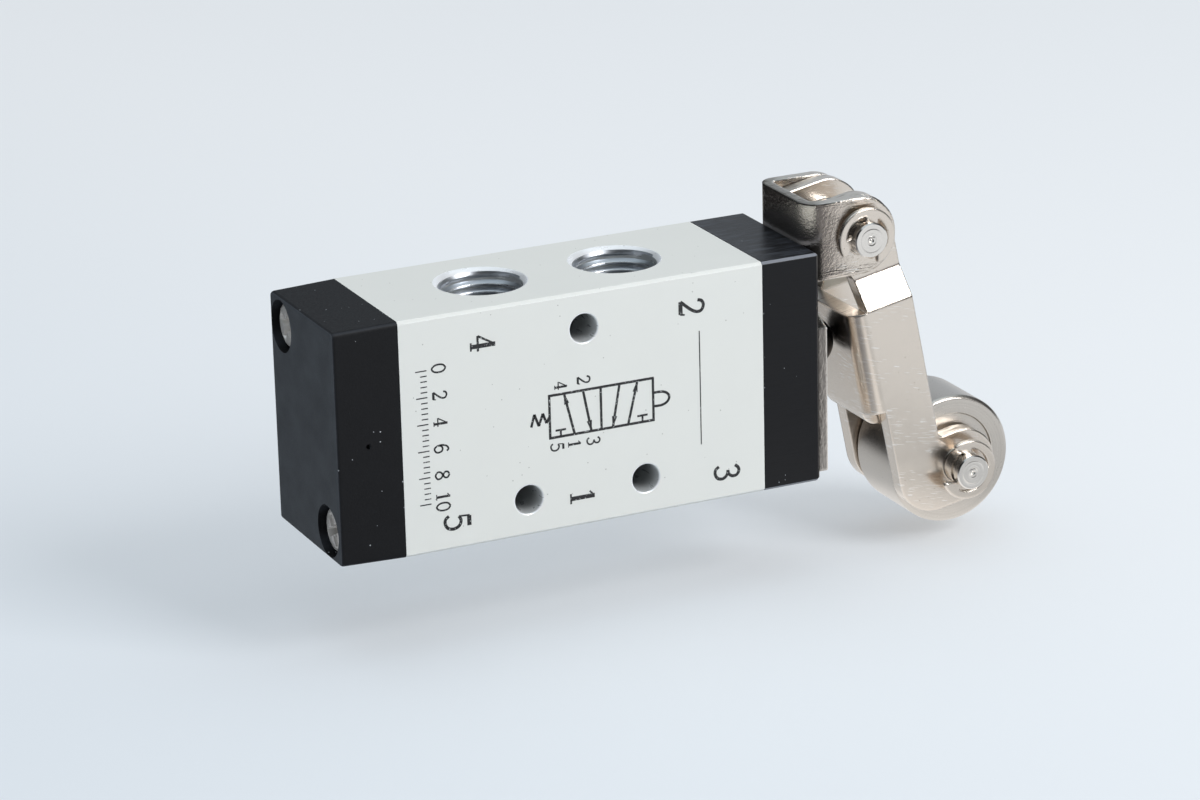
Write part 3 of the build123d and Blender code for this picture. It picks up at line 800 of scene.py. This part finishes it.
def skin_rows(mesh_builder, rows, close_ends=False):
    """Join closed rows of points with faces. Returns the rows of new vertices."""
    made = [[mesh_builder.verts.new(point) for point in row] for row in rows]
    count = len(made[0])
    for row, after in zip(made, made[1:]):
        for i in range(count):
            j = (i + 1) % count
            mesh_builder.faces.new((row[i], row[j], after[j], after[i]))
    if close_ends:
        mesh_builder.faces.new(made[0][::-1])
        mesh_builder.faces.new(made[-1])
    return made


print("piece helpers ready")

# %% [markdown]
# ## Threads in the ports
#
# A port takes a one eighth inch pipe fitting. Its thread is one ridge that climbs round the bore,
# 28 turns to the inch. The ridge's section is swept along a helix, and it fades out at both ends
# as a tapped thread does. Only the ridge stands inside the bore, so the hole keeps its size. The
# crest is painted bright, a painted highlight, and the flanks grey, a painted shade, so the crest
# has a material of its own.

# %% Thread metals
FLANK_SHADED_METAL = (0.60, 0.63, 0.67)
CREST_HIGHLIGHT_METAL = (0.93, 0.95, 0.97)


def cut_metal(name, colour, rough):
    """Bare cut metal with fine tool marks round the bore."""
    material, tree, shader = new_material(name, colour, 1.0, sum(rough) / 2)
    fine = grain_at(tree, place_in(tree), 0.3, 4.0, (4.0, 4.0, 1.0))
    wire(tree, shader, Base_Color=mix_colour(tree, fine, shade_of(colour, 0.85), shade_of(colour, 1.1)),
         Roughness=spread(tree, fine, *rough), Normal=bump(tree, fine, 0.2, 0.03))
    return material


# painted shade on the grey flanks, and a painted highlight on the bright crests
shaded_flank_metal = cut_metal("thread_flank_shaded", FLANK_SHADED_METAL, (0.24, 0.5))
crest_highlight_metal = cut_metal("thread_crest_highlight", CREST_HIGHLIGHT_METAL, (0.2, 0.35))
print("thread metals: grey flanks, bright crests")

# %% Port threads
THREAD_PITCH = 25.4 / 28
THREAD_ROOT = 4.65
THREAD_CREST = 4.16
THREAD_TOP = 12.66
THREAD_BOTTOM = 7.2
THREAD_TURNS = (THREAD_TOP - THREAD_BOTTOM) / THREAD_PITCH
THREAD_STEPS = 64
FADE_STEPS = 0.6 * THREAD_STEPS
CREST_BAND = 0.03
RIDGE_SECTION = [(0.0, -0.46), (0.5, -0.24), (0.93, -0.08), (1.0, 0.0), (0.93, 0.08), (0.5, 0.24),
                 (0.0, 0.46)]


def thread_ridge(x, side):
    """The ridge of one port's thread. Side is 1 for the upper face and -1 for the lower."""
    steps = round(THREAD_TURNS * THREAD_STEPS)
    rows = []
    for step in range(steps + 1):
        angle = 2 * math.pi * step / THREAD_STEPS
        height = (THREAD_ROOT - THREAD_CREST) * min(1.0, step / FADE_STEPS, (steps - step) / FADE_STEPS)
        climb = THREAD_TOP - THREAD_PITCH * step / THREAD_STEPS
        row = []
        for reach, along in RIDGE_SECTION:
            r = THREAD_ROOT - height * reach
            z = climb + along * THREAD_PITCH
            row.append((x + r * math.cos(angle), AXIS_Y + side * r * math.sin(angle), side * z))
        rows.append(row)
    mesh_builder = bmesh.new()
    skin_rows(mesh_builder, rows, close_ends=True)
    for face in mesh_builder.faces:
        middle = face.calc_center_median()
        # crest faces take the material painted with a highlight
        if math.hypot(middle.x - x, middle.y - AXIS_Y) < THREAD_CREST + CREST_BAND:
            face.material_index = 1
    return mesh_builder


for name, x in PORT_X.items():
    side = 1 if name in UPPER_PORTS else -1
    ridge = make_piece("thread_" + name, thread_ridge(x, side), shaded_flank_metal, "valve_body",
                       smooth_angle=50.0)
    ridge.data.materials.append(crest_highlight_metal)
print("thread turns:", round(THREAD_TURNS, 2), "faces each:", len(ridge.data.polygons))

# %% [markdown]
# ## Screws
#
# The cap's two pan head screws sit deep in their holes, and the bracket's two countersunk screws
# are flush with its plate. A head is a profile turned round its axis. Its cross recess is a tapered
# plus that a Boolean modifier cuts away, because that gives the crisp walls of a stamped recess.

# %% Screw shapes
TURNING_STEPS = 64
RECESS_TAPER = [(-0.3, 1.06), (0.0, 1.0), (0.75, 0.72), (1.0, 0.30)]


def turned_profile(mesh_builder, profile, centre, along="X"):
    """Turn (place, radius) points round an axis along X or Y. The first and last radius are 0."""
    def point(distance, u, v):
        if along == "X":
            return (distance, centre[0] + u, centre[1] + v)
        return (centre[0] + u, distance, centre[1] + v)

    angles = [2 * math.pi * i / TURNING_STEPS for i in range(TURNING_STEPS)]
    rows = []
    for distance, r in profile[1:-1]:
        rows.append([point(distance, r * math.cos(angle), r * math.sin(angle)) for angle in angles])
    made = skin_rows(mesh_builder, rows)
    for end_row, tip_place in ((made[0], profile[0][0]), (made[-1], profile[-1][0])):
        tip = mesh_builder.verts.new(point(tip_place, 0.0, 0.0))
        for i in range(TURNING_STEPS):
            mesh_builder.faces.new((end_row[i], end_row[(i + 1) % TURNING_STEPS], tip))


def cross_cutter(mesh_builder, face_x, inward, recess, y, z, turn_angle):
    """A plus shape that narrows as it goes in from a head's face."""
    depth, reach, half_width = recess
    arm = [(reach, -half_width), (reach, half_width), (half_width, half_width)]
    outline = []
    for quarter in range(4):
        angle = quarter * math.pi / 2 + turn_angle
        c, s = math.cos(angle), math.sin(angle)
        outline += [(u * c - v * s, u * s + v * c) for u, v in arm]
    rows = []
    for share, scale in RECESS_TAPER:
        rows.append([(face_x + inward * depth * share, y + u * scale, z + v * scale) for u, v in outline])
    skin_rows(mesh_builder, rows, close_ends=True)


print("screw shapes ready")

# %% Pairs of screws
HEAD_ROUNDING = 0.06
HEAD_SHARP_FROM = math.radians(40.0)
SCREW_METAL = (0.88, 0.85, 0.81)


def screw_pair(name, replaced, profile, face_x, inward, recess, screws):
    """Turn two screws, cut their recesses, and let the piece stand for a CAD node."""
    heads, cutters = bmesh.new(), bmesh.new()
    for y, z, turn_angle in screws:
        turned_profile(heads, profile, (y, z))
        cross_cutter(cutters, face_x, inward, recess, y, z, turn_angle)
    piece = make_piece(name, heads, screw_metal, "valve_body")
    tool = make_piece(name + "_tool", cutters, screw_metal, "valve_body")
    modify(piece, "BOOLEAN", operation="DIFFERENCE", solver="EXACT", object=tool)
    round_corners(piece, HEAD_ROUNDING, HEAD_SHARP_FROM)
    view = bpy.context.evaluated_depsgraph_get()
    mesh = bpy.data.meshes.new_from_object(piece.evaluated_get(view))
    piece.modifiers.clear()
    piece.data = mesh
    bpy.data.objects.remove(tool)
    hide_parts(replaced)
    print(name, "faces:", len(mesh.polygons))


screw_metal = turned_metal("screw_zinc", SCREW_METAL, VALVE_AXIS, ALONG_X, 0.25, (0.12, 0.28), metallic=0.5)

# %% Cap screws
CAP_SEAT_X = -26.3
HEAD_RADIUS = 2.58
HEAD_HEIGHT = 2.1
SHANK = 1.5
SHANK_END = 1.45
CAP_SHANK_LENGTH = 9.0
CAP_RECESS = (1.4, 1.85, 0.48)
CAP_SCREWS = [(AXIS_Y + 5.6, 9.88, 0.45), (AXIS_Y - 5.6, -9.88, 1.1)]

face = CAP_SEAT_X - HEAD_HEIGHT
end = CAP_SEAT_X + CAP_SHANK_LENGTH
pan_head = [(face, 0), (face + 0.01, 1.5), (face + 0.04, 1.95), (face + 0.12, 2.25), (face + 0.32, 2.47),
            (face + 0.7, HEAD_RADIUS), (CAP_SEAT_X, HEAD_RADIUS), (CAP_SEAT_X, SHANK), (end, SHANK_END),
            (end, 0)]
screw_pair("cap_screw_heads", "cap_screws", pan_head, face, 1, CAP_RECESS, CAP_SCREWS)

# %% Bracket screws
PLATE_X = 29.7
BRACKET_SHANK_LENGTH = 12.0
BRACKET_RECESS = (1.2, 1.4, 0.3)
BRACKET_SCREWS = [(AXIS_Y - 5.6, -6.45, 0.2), (AXIS_Y + 5.6, -6.45, 0.9)]

end = PLATE_X - BRACKET_SHANK_LENGTH
flat_head = [(PLATE_X - 0.02, 0), (PLATE_X - 0.02, 2.5), (PLATE_X - 0.14, 2.62), (PLATE_X - 1.2, SHANK),
             (end, SHANK_END), (end, 0)]
screw_pair("bracket_screw_heads", "bracket_screws", flat_head, PLATE_X, -1, BRACKET_RECESS, BRACKET_SCREWS)

# %% [markdown]
# ## Pins
#
# Each pin was turned from bar, so its end shows a centre mark with fine rings round it, and its
# ends are chamfered. The two grooves hold the clips, so their places are read from the clips' own
# boxes in the model. The turned pin then stands for the plain one.

# %% Turned pins
PIN_RADIUS = 2.0
PIN_EDGE = 0.14
GROOVE_RADIUS = 1.6
GROOVE_ROOM = 0.04
CLIP_THICKNESS = 0.6
END_RINGS = [(0.04, 0.0), (0.13, 0.14), (0.0, 0.28), (0.0, 0.40), (0.04, 0.50), (0.0, 0.62), (0.0, 0.80),
             (0.02, 0.88), (0.0, 1.0), (0.0, 1.30), (0.02, 1.36), (0.0, 1.45), (0.0, 1.86)]


def turned_pin(name, node, clips, centre, metal, body):
    """A grooved pin along Y, between the ends of its CAD node."""
    front, rear = (corner.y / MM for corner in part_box(node))
    first, last = (corner.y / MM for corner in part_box(clips))
    near_end = [(front + depth, r) for depth, r in END_RINGS] + [(front + PIN_EDGE, PIN_RADIUS)]
    far_end = [(rear - PIN_EDGE, PIN_RADIUS)] + [(rear - depth, r) for depth, r in END_RINGS[::-1]]
    grooves = []
    for start in (first, last - CLIP_THICKNESS):
        a, b = start - GROOVE_ROOM, start + CLIP_THICKNESS + GROOVE_ROOM
        grooves += [(a, PIN_RADIUS), (a, GROOVE_RADIUS), (b, GROOVE_RADIUS), (b, PIN_RADIUS)]
    mesh_builder = bmesh.new()
    turned_profile(mesh_builder, near_end + grooves + far_end, (centre[0], centre[2]), along="Y")
    pin = make_piece(name, mesh_builder, metal, body, smooth_angle=25.0)
    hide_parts(node)
    print(name, "from", round(front, 2), "to", round(rear, 2), "mm")


turned_pin("pivot_pin_turned", "pivot_pin", "pivot_clips", PIVOT, pivot_metal, "valve_body")
turned_pin("roller_pin_turned", "roller_pin", "roller_clips", ROLLER_PIN, roller_pin_metal, "lever")

# %% [markdown]
# ## Print on the front
#
# The print is generic: the standard numbers of the five ports and the symbol of a 5/2 valve with a
# plunger on one end and a spring on the other. Pad print is a thin film, so each stroke is a flat
# ribbon that stands a hundredth of a millimetre proud. Strokes are lists of points, which is enough
# for numbers with small feet, and needs no font.

# %% Ribbon strokes
FRONT_Y = -18.0
INK_PROUD = 0.012
INK_SUNK = 0.01
LAYER = 0.0005  # strokes that cross lie a little above each other
CURVE_STEPS = 6


def smooth_path(points):
    """A smooth line through points (Catmull-Rom). Two points stay a straight line."""
    if len(points) < 3:
        return points
    ends = [points[0]] + list(points) + [points[-1]]
    path = []
    for a, b, c, d in zip(ends, ends[1:], ends[2:], ends[3:]):
        for i in range(CURVE_STEPS):
            t = i / CURVE_STEPS
            path.append(tuple(0.5 * (2 * q + (r - p) * t + (2 * p - 5 * q + 4 * r - s) * t * t
                                     + (3 * q - p - 3 * r + s) * t ** 3) for p, q, r, s in zip(a, b, c, d)))
    return path + [points[-1]]


def ribbon(mesh_builder, path, start_width, end_width=None, layer=0):
    """A flat stroke on the front face along (x, z) points. Its width may change towards its end."""
    change = (end_width or start_width) - start_width
    out, deep = FRONT_Y - INK_PROUD - layer * LAYER, FRONT_Y + INK_SUNK
    rows = []
    for i, (x, z) in enumerate(path):
        ahead = path[min(i + 1, len(path) - 1)]
        behind = path[max(i - 1, 0)]
        dx, dz = ahead[0] - behind[0], ahead[1] - behind[1]
        size = math.hypot(dx, dz)
        half = start_width / 2 + change / 2 * i / (len(path) - 1)
        ox, oz = -dz / size * half, dx / size * half
        rows.append([(x + ox, out, z + oz), (x - ox, out, z - oz),
                     (x - ox, deep, z - oz), (x + ox, deep, z + oz)])
    skin_rows(mesh_builder, rows, close_ends=True)


print("ribbons stand", INK_PROUD, "mm proud of the front face")

# %% Digits
# Each stroke of a digit has its width at the start and at the end, as shares of the digit's height,
# and the points that it runs through, in hundredths of that height.
THIN, MEDIUM, EVEN, THICK = 0.07, 0.09, 0.125, 0.17
DIGITS = {
    "0": [(EVEN, EVEN, "33,100 12,82 6,50 12,18 33,0 54,18 60,50 54,82 33,100")],
    "1": [(THICK, THICK, "34,0 34,100"), (THIN, THIN, "34,97 14,80"), (THIN, THIN, "14,2 54,2")],
    "2": [(EVEN, EVEN, "10,76 16,93 34,100 53,90 55,70 42,45 8,5"), (THICK, THICK, "8,5 58,5"),
          (THIN, THIN, "58,3 61,22")],
    "3": [(EVEN, EVEN, "10,84 22,97 36,100 51,90 52,70 40,57 26,54"),
          (EVEN, EVEN, "26,54 44,50 57,34 54,12 36,0 18,2 7,16")],
    "4": [(THICK, THICK, "44,0 44,100"), (THIN, MEDIUM, "44,98 5,30"), (MEDIUM, MEDIUM, "4,30 64,30"),
          (THIN, THIN, "28,2 60,2")],
    "5": [(THICK, THICK, "16,97 55,97"), (THIN, THIN, "15,99 12,56"),
          (EVEN, EVEN, "12,56 30,64 50,56 59,34 52,10 32,0 16,3 6,16")],
    "6": [(EVEN, EVEN, "54,88 40,100 20,88 9,60 9,30 20,5 36,0 54,12 58,32 50,52 34,58 17,50 10,34")],
    "8": [(EVEN, EVEN, "33,100 14,88 14,68 33,54 54,38 56,14 33,0 10,14 12,38 33,54 52,68 52,88 33,100")],
}
DIGIT_WIDTH = 0.72
DIGIT_SHIFT = 0.01


def draw_number(mesh_builder, text, x, z, size):
    """Draw digits centred on (x, z). They read downwards, as the real print does."""
    for index, letter in enumerate(text):
        start = z + DIGIT_WIDTH * size * (len(text) / 2 - index) - DIGIT_SHIFT * size
        for order, (first, last, stroke) in enumerate(DIGITS[letter]):
            points = [tuple(int(v) / 100 for v in point.split(",")) for point in stroke.split()]
            path = [(x - size / 2 + v * size, start - u * size) for u, v in smooth_path(points)]
            ribbon(mesh_builder, path, first * size, last * size, layer=2 * order)


print("digits:", "".join(DIGITS))

# %% Ink material
INK = (0.018, 0.018, 0.020)
INK_WORN = (0.42, 0.43, 0.42)

ink, tree, shader = new_material("print_ink", INK, 0.0, 0.55)
film = grain_at(tree, place_in(tree), 0.22, 4.0)
gaps = step_up(tree, film, 0.60, 0.68)
wire(tree, shader, Base_Color=mix_colour(tree, gaps, INK, INK_WORN),
     Roughness=spread(tree, film, 0.45, 0.7), Normal=bump(tree, film, 0.2, 0.01))


def make_print(name, mesh_builder):
    """Turn strokes into a printed piece."""
    make_piece(name, mesh_builder, ink, "valve_body")
    print("printed:", name)

# %% Port numbers and scale
PORT_PRINT = {"4": (-11.83, 9.4), "2": (12.85, 9.5), "5": (-15.45, -10.2), "1": (-0.66, -10.0),
              "3": (16.85, -10.2)}
PORT_PRINT_SIZE = 2.9
SCALE_X, SCALE_TOP, SCALE_STEP = -17.0, 7.4, 3.0
SCALE_TEXTS = ("0", "2", "4", "6", "8", "10")
SCALE_PRINT_SIZE = 1.6
SCALE_PARTS = 5
TICK_GAP = 1.4
TICK_LONG, TICK_SHORT = 1.3, 0.75
FINE_LINE = 0.13

numbers = bmesh.new()
for text, (x, z) in PORT_PRINT.items():
    draw_number(numbers, text, x, z, PORT_PRINT_SIZE)
make_print("port_numbers", numbers)

scale = bmesh.new()
for index, text in enumerate(SCALE_TEXTS):
    draw_number(scale, text, SCALE_X, SCALE_TOP - SCALE_STEP * index, SCALE_PRINT_SIZE)
    last_text = index == len(SCALE_TEXTS) - 1
    for part in range(1 if last_text else SCALE_PARTS):
        z = SCALE_TOP - SCALE_STEP * (index + part / SCALE_PARTS)
        tick = TICK_LONG if part == 0 else TICK_SHORT
        ribbon(scale, [(SCALE_X - TICK_GAP, z), (SCALE_X - TICK_GAP - tick, z)], FINE_LINE)
make_print("pressure_scale", scale)

# %% [markdown]
# ## The valve symbol
#
# A 5/2 valve is drawn as two boxes, one for each position of its spool. The arrows in a box show
# which ports are joined there, and a short bar stops a port that is closed. The plunger's round end
# stands at one side and the spring's zigzag at the other. One thin rule stands beside the symbol.

# %% Valve symbol
LINE = 0.29
STOP_LINE = LINE * 0.8
BOX_LEFT, BOX_MIDDLE, BOX_RIGHT = -4.3, 1.8, 8.05
BOX_TOP, BOX_BOTTOM = 2.2, -2.6
ARROWS = [((-1.4, BOX_BOTTOM), (-2.55, BOX_TOP)), ((-0.3, BOX_TOP), (0.6, BOX_BOTTOM)),
          ((4.06, BOX_TOP), (3.15, BOX_BOTTOM)), ((4.99, BOX_BOTTOM), (6.2, BOX_TOP))]
ARROW_LENGTH, ARROW_WIDTH, ARROW_TIP = 1.25, 0.62, 0.05
STOPS_X, STOP_Z, STOP_HALF = (-3.04, 6.72), -1.85, 0.62
SPRING = [(-6.5, -1.0), (-6.1, 0.4), (-5.6, -1.0), (-5.1, 0.35), (-4.7, -0.8), (BOX_LEFT, -0.1)]
PLUNGER = [(BOX_RIGHT, 0.5), (9.1, 0.48), (9.75, 0.2), (9.98, -0.26), (9.75, -0.75), (9.1, -1.04),
           (BOX_RIGHT, -1.04)]
SMALL_NUMBERS = {"4": (-2.9, 3.15), "2": (-0.2, 3.35), "5": (-3.5, -3.75), "1": (-1.45, -3.75),
                 "3": (0.8, -3.75)}
SMALL_PRINT_SIZE = 1.5
RULE = [(13.75, 6.65), (13.77, -6.4)]


def arrow(mesh_builder, start, end):
    """A line with a solid arrowhead at its end."""
    ribbon(mesh_builder, [start, end], LINE, layer=2)
    dx, dz = end[0] - start[0], end[1] - start[1]
    size = math.hypot(dx, dz)
    back = (end[0] - dx / size * ARROW_LENGTH, end[1] - dz / size * ARROW_LENGTH)
    ribbon(mesh_builder, [back, end], ARROW_WIDTH, ARROW_TIP, layer=4)


symbol = bmesh.new()
for z in (BOX_TOP, BOX_BOTTOM):
    ribbon(symbol, [(BOX_LEFT - LINE / 2, z), (BOX_RIGHT + LINE / 2, z)], LINE)
for x in (BOX_LEFT, BOX_MIDDLE, BOX_RIGHT):
    ribbon(symbol, [(x, BOX_TOP), (x, BOX_BOTTOM)], LINE, layer=1)
for start, end in ARROWS:
    arrow(symbol, start, end)
for x in STOPS_X:
    ribbon(symbol, [(x, BOX_BOTTOM), (x, STOP_Z)], STOP_LINE, layer=2)
    ribbon(symbol, [(x - STOP_HALF, STOP_Z), (x + STOP_HALF, STOP_Z)], STOP_LINE, layer=3)
for first, second in zip(SPRING, SPRING[1:]):
    ribbon(symbol, [first, second], LINE, layer=2)
ribbon(symbol, smooth_path(PLUNGER), LINE, layer=2)
for text, (x, z) in SMALL_NUMBERS.items():
    draw_number(symbol, text, x, z, SMALL_PRINT_SIZE)
make_print("valve_symbol", symbol)

rule = bmesh.new()
ribbon(rule, RULE, FINE_LINE)
make_print("print_rule", rule)

# %% [markdown]
# ## The floor
#
# A product photographer puts a small part on pale paper. The floor here is one wide sheet, a little
# below the roller, because the pressed lever swings the roller down. Part of its colour is light of
# its own that only the camera and reflections see, painted paler towards the right as a painted pool
# of light, so the background stays even but for that painted light, and the sheet still keeps the
# valve's soft shadow. A reflection sees the sheet dark on the left and pale on the right, with a
# paler strip under the roller: the bends of the nickel sheet are drawn by that change.

# %% Floor
ROLLER_ROOM = 2.1  # the roller swings this far down when the lever is pressed home
FLOOR_Z = cad_box[0][2] - ROLLER_ROOM * MM
FLOOR_HALF = 3.0
CORNERS = [(-1, -1), (1, -1), (1, 1), (-1, 1)]

floor_mesh = bpy.data.meshes.new("floor")
floor_mesh.from_pydata([(x * FLOOR_HALF, y * FLOOR_HALF, FLOOR_Z) for x, y in CORNERS], [], [(0, 1, 2, 3)])
floor = add_object("floor", floor_mesh)
print("floor at mm:", round(FLOOR_Z / MM, 2))

# %% Paper
PAPER = (0.76, 0.80, 0.84)
GLOW_LEFT = (0.67, 0.73, 0.79)
GLOW_RIGHT = (1.0, 1.0, 1.0)
GLOW_WAY = (1.05, 0.35, 0.0)
GLOW_RANGE = (-120.0, 140.0)
MIRROR_NEAR = (0.20, 0.20, 0.21)
MIRROR_FAR = (0.012, 0.012, 0.013)
DARK_RANGE = (0.0, 80.0)
MIRROR_MIDDLE = (0.62, 0.64, 0.66)
MIRROR_RIGHT = (0.86, 0.89, 0.92)
KEY_WAY = (1.0, -0.4, 0.0)
RIGHT_RANGE = (82.0, 96.0)
MIRROR_STRIP = (1.0, 1.0, 1.0)
STRIP_START = (36.0, 46.0)
STRIP_END = (60.0, 70.0)
PALE_RANGE = (-6.0, 30.0)
PLAIN_SHARE = 0.34
MIRROR_SHARE = 1.0


def seen_directly(tree):
    """1 for the camera, for reflections and through glass."""
    path = put(tree, "LightPath").outputs
    return largest(tree, [path["Is Camera Ray"], path["Is Glossy Ray"], path["Is Transmission Ray"]])


paper, tree, shader = new_material("pale_paper", PAPER, 0.0, 0.9)
place = place_in(tree)
mirrored = put(tree, "LightPath").outputs["Is Glossy Ray"]
across_picture = vector_maths(tree, "DOT_PRODUCT", place, GLOW_WAY, output="Value")
# painted light: the glow that the camera sees is painted paler towards the right
painted_light_gradient = mix_colour(tree, step_up_mm(tree, across_picture, *GLOW_RANGE), GLOW_LEFT, GLOW_RIGHT)

along = split(tree, place)
dark = mix_colour(tree, step_up_mm(tree, along["Y"], *DARK_RANGE), MIRROR_NEAR, MIRROR_FAR)
to_key = vector_maths(tree, "DOT_PRODUCT", place, KEY_WAY, output="Value")
bright = mix_colour(tree, step_up_mm(tree, to_key, *RIGHT_RANGE), MIRROR_MIDDLE, MIRROR_RIGHT)
strip = maths(tree, "SUBTRACT", step_up_mm(tree, to_key, *STRIP_START), step_up_mm(tree, to_key, *STRIP_END))
bright = mix_colour(tree, strip, bright, MIRROR_STRIP)
reflected = mix_colour(tree, step_up_mm(tree, along["X"], *PALE_RANGE), dark, bright)

glow = put(tree, "Emission", {"Color": mix_colour(tree, mirrored, painted_light_gradient, reflected), "Strength": 1.0})
share = times(tree, seen_directly(tree), mix_value(tree, mirrored, PLAIN_SHARE, MIRROR_SHARE))
both = put(tree, "MixShader", {0: share, 1: shader.outputs["BSDF"], 2: glow.outputs["Emission"]})
tree.links.new(both.outputs["Shader"], tree.nodes["Material Output"].inputs["Surface"])
floor_mesh.materials.append(paper)
print("paper: pale to the camera, dark and pale parts to a reflection")

# %% [markdown]
# ## Lamps and room
#
# The key lamp stands in front on the right: the lever's bent faces turn white exactly there. A wide
# lamp above fills the shadows. Reflections see a dark room with one pale wall behind the valve,
# because nickel without dark surroundings to mirror looks like plastic.

# %% Lamps
LAMP_AIM = Vector((10.0, -9.0, 0.0)) * MM
KEY_FROM = (0.40, -0.71, 0.575)
TOP_FROM = (-0.05, 0.06, 1.0)
COOL = (0.80, 0.92, 1.0)


def soft_lamp(name, towards, distance, size, power, colour=(1.0, 1.0, 1.0)):
    """A square area lamp in a direction from the valve, pointed back at it."""
    data = bpy.data.lights.new(name, "AREA")
    data.shape = "SQUARE"
    data.size = size
    data.energy = power
    data.color = colour
    lamp = add_object(name, data)
    way = Vector(towards).normalized()
    lamp.location = LAMP_AIM + way * distance
    lamp.rotation_euler = (-way).to_track_quat("-Z", "Y").to_euler()
    print(name, "at", [round(v, 2) for v in lamp.location], "m")


soft_lamp("key_lamp", KEY_FROM, distance=0.9, size=0.42, power=5.25)
soft_lamp("top_lamp", TOP_FROM, distance=0.8, size=1.3, power=3.9, colour=COOL)

# %% Room
SKY_COLOUR = (0.95, 0.97, 1.0)
SKY_STRENGTH = 0.38
ROOM_PALE = (0.84, 0.88, 0.92)
ROOM_BACK = (0.52, 0.56, 0.61)
ROOM_DARK = (0.015, 0.015, 0.016)
PALE_WAY = Vector((0.52, 0.82, 0.22)).normalized()
WALL_EDGE = (0.72, 0.98)

world = bpy.data.worlds.new("studio")
bpy.context.scene.world = world
world.use_nodes = True
tree = world.node_tree
sky = tree.nodes["Background"]
wire(tree, sky, Color=SKY_COLOUR, Strength=SKY_STRENGTH)

way = put(tree, "TexCoord").outputs["Generated"]
towards_pale = vector_maths(tree, "DOT_PRODUCT", way, PALE_WAY, output="Value")
room = mix_colour(tree, step_up(tree, towards_pale, *WALL_EDGE), ROOM_DARK, ROOM_BACK)
mirrored = put(tree, "LightPath").outputs["Is Glossy Ray"]
seen = put(tree, "Background", {"Color": mix_colour(tree, mirrored, ROOM_PALE, room), "Strength": 1.0})
both = put(tree, "MixShader", {0: seen_directly(tree), 1: sky.outputs["Background"],
                               2: seen.outputs["Background"]})
tree.links.new(both.outputs["Shader"], tree.nodes["World Output"].inputs["Surface"])
print("room: dark to a reflection, with one pale wall")
